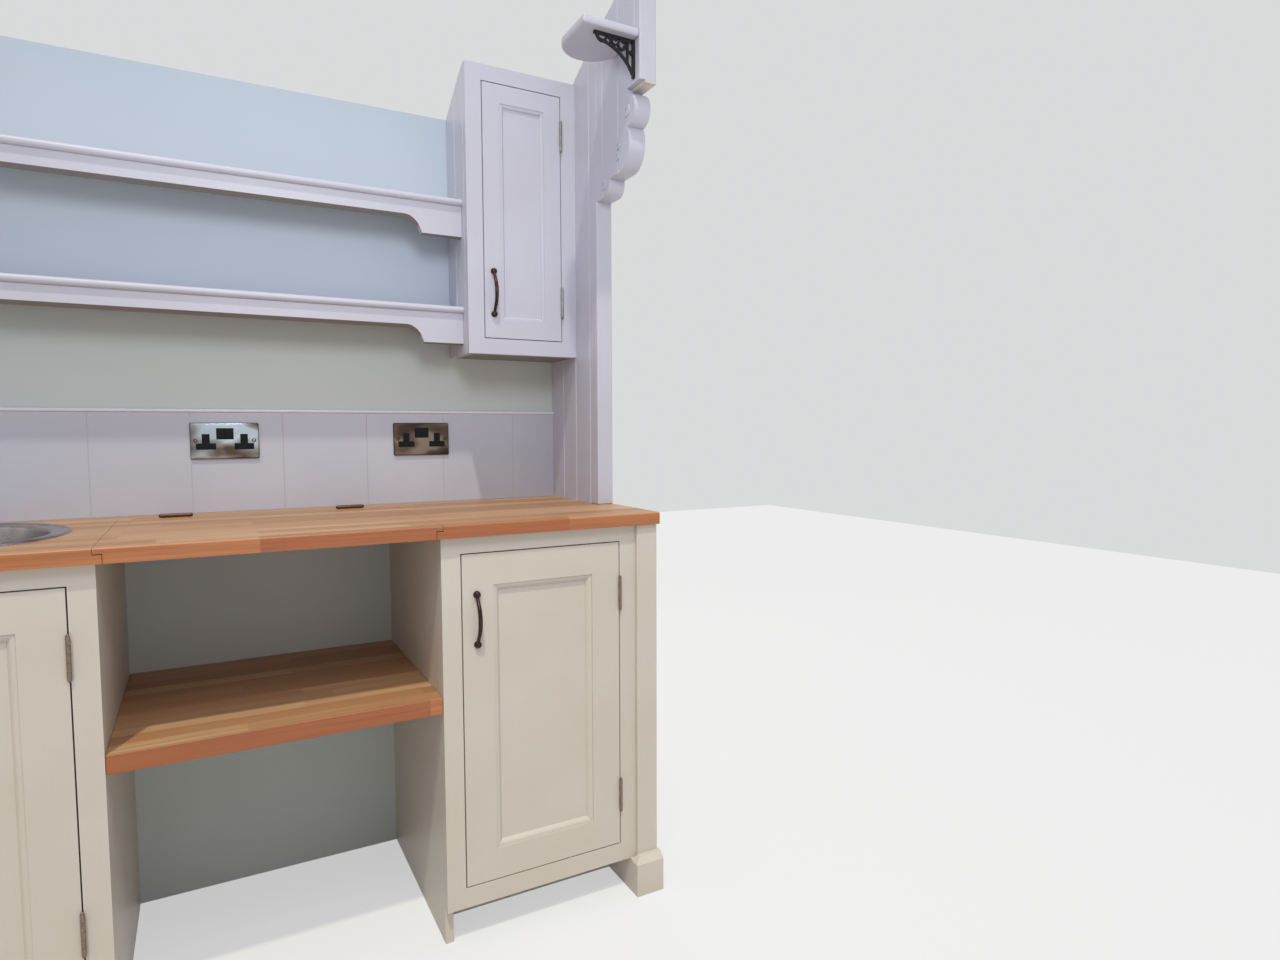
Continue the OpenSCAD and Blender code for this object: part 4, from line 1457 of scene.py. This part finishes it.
@dataclass
class SocketPlate:
    """A twin socket plate: pillowed plate, two outlets, two rockers, two screws.

    The corners of its mouldings are in millimetres from their own place on the plate.
    """

    node: str
    plate: Material
    rim: Material
    plastic: Material
    thickness: float = 6 * MM
    corner: float = 4 * MM
    rolled: float = 3 * MM
    outlet_x: float = 40.5 * MM
    rocker_x: float = 8.6 * MM
    rocker_z: float = 17 * MM
    screw_x: float = 62 * MM
    screw_z: float = 1 * MM
    sunk: float = 0.6 * MM
    flat_enough: float = 0.8
    tip: float = 0.085
    tip_z: float = 2 * MM
    bezel: Corners = ((-18.4, -0.5, 3.6), (18.4, 1, 30.4))
    rocker: Corners = ((-7.9, -1.9, -11.6), (7.9, 1, 11.6))
    screw_slot: Corners = ((-2.5, -1.1, -0.35), (2.5, 0, 0.35))
    blocks: Sequence[Corners] = (((-8.2, -0.9, -7), (8.2, 2, 16.5)),
                                 ((-21, -1.1, -20.5), (21, 2, -5.5)))
    slots: Sequence[Corners] = (((-2.4, -1.2, 2.5), (2.4, -0.4, 11.5)),
                                ((-15, -1.35, -15), (-7, -0.4, -10.5)),
                                ((7, -1.35, -15), (15, -0.4, -10.5)))

    def build(self) -> None:
        """Builds the plate with its outlets, rockers and screws."""
        low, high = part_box(self.node)
        middle = (low + high) / 2
        x, y, z = middle.x, high.y - self.thickness, middle.z
        parts = [self.pillow(low, high, y)]
        for side in (-1, 1):
            outlet = (x + side * self.outlet_x, y, z)
            parts += [self.moulded(outlet, corners, 0.9 * MM) for corners in self.blocks]
            parts += [self.moulded(outlet, corners, 0.2 * MM, 1) for corners in self.slots]
            rocker = (x + side * self.rocker_x, y, z + self.rocker_z)
            parts.append(self.moulded(rocker, self.rocker, 0.7 * MM, tip=self.tip))
            parts += self.screw((x + side * self.screw_x, y, z + self.screw_z))
        parts.append(self.moulded((x, y, z), self.bezel, 0.4 * MM))
        fit(Bench.join(f"{self.node}_plate", parts), Body.FIXED, "socket_steel", self.node)

    def pillow(self, low: Vector, high: Vector, front: float) -> Piece:
        """Shapes the plate, round at its corners and rolled over at its edges.

        Args:
            low: Lowest corner of the plate's box.
            high: Highest corner of the plate's box.
            front: The plate's face, as its distance along Y.

        Returns:
            The plate.
        """
        plate = Bench.block("plate", (low.x, front, low.z), high)
        Bench.round_edges(plate, Axis.OUT.runs, self.corner, 4)
        Bench.round_edges(plate, lambda a, b: max(a.y, b.y) < front + NEAR, self.rolled, 4)
        bpy.ops.object.shade_smooth_by_angle(angle=Bench.turned)
        # Faces that are not flat take the dark rim metal: painted shade along the rolled edges.
        paint(plate, self.plate, self.rim)
        for face in plate.data.polygons:
            face.material_index = int(-face.normal.y < self.flat_enough)
        return plate

    def moulded(self, place: Sequence[float], corners: Corners, arris: float,
                segments: int = 2, tip: float = 0.0) -> Piece:
        """Makes one black moulding.

        Args:
            place: Its place on the plate.
            corners: Its lowest and highest corner from there, in millimetres.
            arris: Width of its eased arrises.
            segments: Steps across an arris.
            tip: How steeply its face is tipped, like a pressed switch's.

        Returns:
            The moulding.
        """
        low, high = ([p + c * MM for p, c in zip(place, corner)] for corner in corners)
        block = Bench.block("moulding", low, high)
        if tip:
            Bench.cut(block, (place[0], low[1], place[2] + self.tip_z), (0, -1, tip))
        return paint(Bench.ease(block, arris, segments), self.plastic)

    def screw(self, place: Sequence[float]) -> list[Piece]:
        """Turns one domed screw head in its dark hole, with its slot.

        Args:
            place: Its place on the plate.

        Returns:
            The hole, the head and the slot.
        """
        hole = self.disc(place, 4.5 * MM, 0.3 * MM)
        head = Bench.ease(self.disc(place, 2.9 * MM, 1.0 * MM), 0.6 * MM, 3)
        return [paint(hole, self.plastic), paint(head, self.plate),
                self.moulded(place, self.screw_slot, 0.1 * MM, 1)]

    def disc(self, place: Sequence[float], radius: float, out: float) -> Piece:
        """Turns a disc that stands out from the plate.

        Args:
            place: Its place on the plate.
            radius: Its radius.
            out: How far it stands out.

        Returns:
            The disc.
        """
        x, y, z = place
        depth = out + self.sunk
        return Bench.disc("disc", (x, y - out + depth / 2, z), radius, depth, 24)


@dataclass
class WallUnits:
    """The lined wall, its shelves and the wall cupboard under the ceiling line."""

    finishes: Finishes
    member: float = 45 * MM
    side_joint: float = 76 * MM
    nosing: float = 10 * MM
    shelf_t: float = 17 * MM
    apron_h: float = 43 * MM
    curve_r: float = 32 * MM
    splay: float = 5 * MM
    tab_splay: float = 3 * MM
    tab_w: float = 102 * MM
    tab_step: float = 10 * MM
    widening: float = 8.5 * MM
    shelf_eased: float = 1.3 * MM
    steps: int = 8

    def build(self) -> None:
        """Builds wall, studs, shelves and cupboard."""
        f = self.finishes
        cool = f.cool
        keep("back_wall", f.wall)
        keep("wall_studs", f.pine)
        self.shelf("shelf_upper")
        self.shelf("shelf_lower")
        Boarding("wall_cupboard_side", [WALL_Y - self.side_joint], cool.up, cool.slot,
                 Vault()).build()
        eased("wall_cupboard_bottom", 1 * MM, f.soffit, cool.slot, 2)
        eased("wall_cupboard_top", 1 * MM, f.soffit, cool.slot, 2)
        FaceFrame("wall_cupboard_frame", "wall_door", cool, 1.5 * MM).build()
        FramedDoor("wall_door", Body.WALL_DOOR, self.member, cool, recess=6 * MM, panel=12 * MM,
                   moulding=9 * MM, step=1.4 * MM, slope=3.6 * MM).build()
        BowHandle("wall_door_handle", Body.WALL_DOOR, f.bronze).build()
        Butts("wall_door_leaves", Body.WALL_DOOR, "pewter", f.pewter, ["wall_door"]).build()
        Butts("wall_frame_leaves", Body.FIXED, "pewter", f.pewter, ["wall_door"]).build()

    def shelf(self, node: str) -> None:
        """Dresses a shelf.

        The curves at the ends of its apron are widened towards their tabs, and the
        apron's lower edge is splayed, so that it hangs deeper behind than in front.

        Args:
            node: The construction node.
        """
        shelf = Bench.copy_of(node, "eased")
        low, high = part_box(node)
        face = low.y + self.nosing
        line = high.z - self.shelf_t - self.apron_h
        for end, way in ((high.x - self.tab_w, 1), (low.x + self.tab_w, -1)):
            for i in range(self.steps):
                below = line - self.curve_r * (i + 0.5) / self.steps

                def curve(point: Vector) -> bool:
                    """Picks the points of the apron's curve under a height, short of the tab."""
                    short = 2 * NEAR < way * (end - point.x) < self.tab_step + self.curve_r
                    return short and line - self.curve_r - NEAR < point.z < below

                Bench.shift(shelf, curve, Axis.ALONG.by(way * self.widening / self.steps))

        def front_outline(point: Vector) -> bool:
            """Picks the points of the apron's lower outline, in front."""
            return abs(point.y - face) < NEAR and point.z < line + NEAR

        Bench.shift(shelf, front_outline, Axis.UP.by(self.tab_splay))
        line += self.tab_splay
        for i in range(self.steps):
            above = line - self.curve_r * (1 - i / self.steps) + i * self.splay / self.steps

            def front_edge(point: Vector) -> bool:
                """Picks the points of that outline that lie above the tabs."""
                inside = above < point.z < line + self.splay + NEAR
                return inside and abs(point.y - face) < NEAR

            Bench.shift(shelf, front_edge, Axis.UP.by(self.splay / self.steps))
        Bench.ease(shelf, self.shelf_eased, 2, 40.0)
        fit(paint(shelf, self.finishes.shelf), Body.FIXED, "cool_paint", node)


@dataclass
class EndPartition:
    """The boarded partition with its posts, header, corbel, high shelf and bracket."""

    finishes: Finishes
    vee: float = 2.8 * MM
    eye_out: float = 3 * MM
    foot_clear: float = 30 * MM
    corbel_eased: float = 0.7 * MM

    def build(self) -> None:
        """Builds the partition from the floor to the ceiling line."""
        f = self.finishes
        for node, coat, vault in (("partition_upper_boards", f.cool, Vault()),
                                  ("partition_lower_boards", f.warm, None),
                                  ("header_boards", f.cool, Vault())):
            Boarding(node, BOARD_JOINTS, coat.up, coat.slot, vault, self.vee).build()
        for node, width, material, slot in (
                ("partition_lower_post", 3 * MM, f.warm.up, "warm_paint"),
                ("partition_upper_post", 3 * MM, f.cool.up, "cool_paint"),
                ("header_rail", 0.8 * MM, f.warm.along, "cool_paint"),
                ("high_shelf", 6 * MM, f.cool.along, "cool_paint"),
                ("shelf_bracket", 1 * MM, f.iron, "cast_iron")):
            eased(node, width, material, slot, angle=40.0)
        self.corbel()

    def corbel(self) -> None:
        """Carries the boards' grooves down over the scrolled corbel."""
        corbel = Bench.copy_of("corbel", "scrolls")
        low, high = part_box("corbel")
        inner = [joint for joint in BOARD_JOINTS
                 if low.y + self.foot_clear < joint < high.y - LEAST_BOARD]
        cuts = [joint + step for joint in inner for step in (-self.vee, 0, self.vee)]
        Bench.score(corbel, Axis.OUT, cuts)
        for face, way in ((low.x + self.eye_out, 1), (high.x - self.eye_out, -1)):
            for joint in inner:
                def groove(point: Vector) -> bool:
                    """Picks the points of one face along one joint."""
                    return abs(point.x - face) < NEAR / 2 and abs(point.y - joint) < NEAR / 2

                Bench.shift(corbel, groove, Axis.ALONG.by(way * self.vee))
        Bench.ease(corbel, self.corbel_eased, 2, 50.0)
        fit(paint(corbel, self.finishes.cool.up), Body.FIXED, "cool_paint", "corbel")


@dataclass
class Studio:
    """Pale floor and backdrop, soft lamps and the camera."""

    place: tuple[float, float, float] = (-0.0816, -1.8714, 1.1198)
    lens: float = 21.884
    film: float = 36.0
    nearest: float = 0.02
    yaw: float = 29.158
    pitch: float = 3.846
    roll: float = -0.153

    def build(self) -> None:
        """Sets the stage, the lamps and the camera."""
        self.floor()
        self.backdrop()
        self.lamps()
        self.camera()

    @staticmethod
    def floor() -> None:
        """Lays the floor, which looks paler than the light that it gives back."""
        Bench.hold()
        bpy.ops.mesh.primitive_plane_add(size=14, location=(0, 0, 0))
        floor = bpy.context.object
        floor.name = "studio_floor"
        graph = Graph("studio_floor")
        tone = graph.noise(1.2, 2.0)
        graph.finish(graph.mix(tone, (0.66, 0.65, 0.63), (0.70, 0.69, 0.67)), 0.6)
        seen = graph.node("BsdfDiffuse", {"Color": (0.34, 0.34, 0.34)})
        glow = graph.node("Emission", {"Color": (0.50, 0.505, 0.51)})
        pale = graph.node("AddShader", {0: seen.outputs[0], 1: glow.outputs[0]})
        Studio.seen_as(graph.tree, graph.shader, pale, graph.output)
        paint(floor, graph.material)

    @staticmethod
    def backdrop() -> None:
        """Makes the world: soft light on the object, and a pale backdrop to see."""
        world = bpy.data.worlds.new("studio")
        bpy.context.scene.world = world
        world.use_nodes = True
        tree = world.node_tree
        tree.nodes.clear()
        soft = add(tree, "Background", {0: (1.0, 0.985, 1.07), 1: 0.55})
        seen = add(tree, "Background", {0: (0.70, 0.705, 0.71), 1: 1.0})
        Studio.seen_as(tree, soft, seen, add(tree, "OutputWorld", {}))

    @staticmethod
    def seen_as(tree: bpy.types.NodeTree, real: bpy.types.Node, shown: bpy.types.Node,
                output: bpy.types.Node) -> None:
        """Shows one shader to rays that see, straight or by reflection, and another to the rest.

        Args:
            tree: The node tree to work in.
            real: The shader for rays that light something.
            shown: The shader for rays that see.
            output: The tree's output.
        """
        path = add(tree, "LightPath", {})
        sees = path.outputs["Is Camera Ray"]
        for kind in ("Is Glossy Ray", "Is Transmission Ray"):
            inputs = {0: sees, 1: path.outputs[kind]}
            sees = add(tree, "Math", inputs, operation="MAXIMUM").outputs[0]
        inputs = {0: sees, 1: real.outputs[0], 2: shown.outputs[0]}
        blend = add(tree, "MixShader", inputs)
        fill(output, {"Surface": blend.outputs[0]})

    @staticmethod
    def lamp(kind: str, name: str, place: Sequence[float], aim: Sequence[float], power: float,
             colour: Colour) -> Piece:
        """Hangs a lamp.

        Args:
            kind: Blender's type of lamp.
            name: The lamp's name.
            place: Where it hangs.
            aim: The direction that it shines in.
            power: Its strength, or its watts.
            colour: Its colour.

        Returns:
            The lamp.
        """
        Bench.hold()
        bpy.ops.object.light_add(type=kind, location=place)
        lamp = bpy.context.object
        lamp.name = name
        lamp.data.energy = power
        lamp.data.color = colour
        lamp.rotation_euler = Vector(aim).to_track_quat("-Z", "Y").to_euler()
        return lamp

    @staticmethod
    def lamps() -> None:
        """Hangs the lamps of the room."""
        key = Studio.lamp("SUN", "ceiling_light", (0.15, -0.84, 2.6), (0.2, 0.42, -1.0), 1.64,
                          (1.0, 0.985, 0.84))
        key.data.angle = math.radians(2)
        for name, place, aim, size, power, colour in (
                ("room_lamp", (0.15, -1.2, 1.95), (0, 1.4, -0.65), 0.42, 6.6, (0.97, 1.0, 1.06)),
                ("low_fill", (0.6, -3.0, 0.6), (-0.15, 3.0, 0), 1.4, 3.6, (1.0, 1.0, 0.98)),
                ("back_fill", (0.6, 2.6, 2.2), (-0.6, -2.3, -1.2), 2.0, 10.0, (1.0, 1.0, 1.0))):
            lamp = Studio.lamp("AREA", name, place, aim, power, colour)
            lamp.visible_camera = False
            lamp.data.shape = "SQUARE"
            lamp.data.size = size

    def camera(self) -> None:
        """Stands the camera where the photograph was taken from."""
        yaw, pitch, roll = (math.radians(a) for a in (self.yaw, self.pitch, self.roll))
        ahead = Vector((math.sin(yaw) * math.cos(pitch), math.cos(yaw) * math.cos(pitch),
                        -math.sin(pitch)))
        right = Vector((math.cos(yaw), -math.sin(yaw), 0.0))
        up = right.cross(ahead)
        tilted_right = math.cos(roll) * right + math.sin(roll) * up
        tilted_up = -math.sin(roll) * right + math.cos(roll) * up
        data = bpy.data.cameras.new("photographer")
        data.sensor_fit = "HORIZONTAL"
        data.sensor_width = self.film
        data.lens = self.lens
        data.clip_start = self.nearest
        camera = bpy.data.objects.new("photographer", data)
        bpy.context.scene.collection.objects.link(camera)
        turn = Matrix((tilted_right, tilted_up, -ahead)).transposed().to_4x4()
        camera.matrix_world = Matrix.Translation(self.place) @ turn
        bpy.context.scene.camera = camera


def main() -> None:
    """Builds the studio, then every sub-assembly round the frame."""
    logging.basicConfig(level=logging.INFO, format="%(name)s: %(message)s")
    bpy.context.scene.view_settings.view_transform = "Standard"
    finishes = Finishes()
    Studio().build()
    BaseUnits(finishes).build()
    Worktop(finishes).build()
    Splashback(finishes).build()
    SocketPlate("socket_left", finishes.plate, finishes.rim, finishes.plastic).build()
    SocketPlate("socket_right", finishes.antique_plate, finishes.rim, finishes.plastic).build()
    WallUnits(finishes).build()
    EndPartition(finishes).build()


if __name__ == "__main__":
    main()
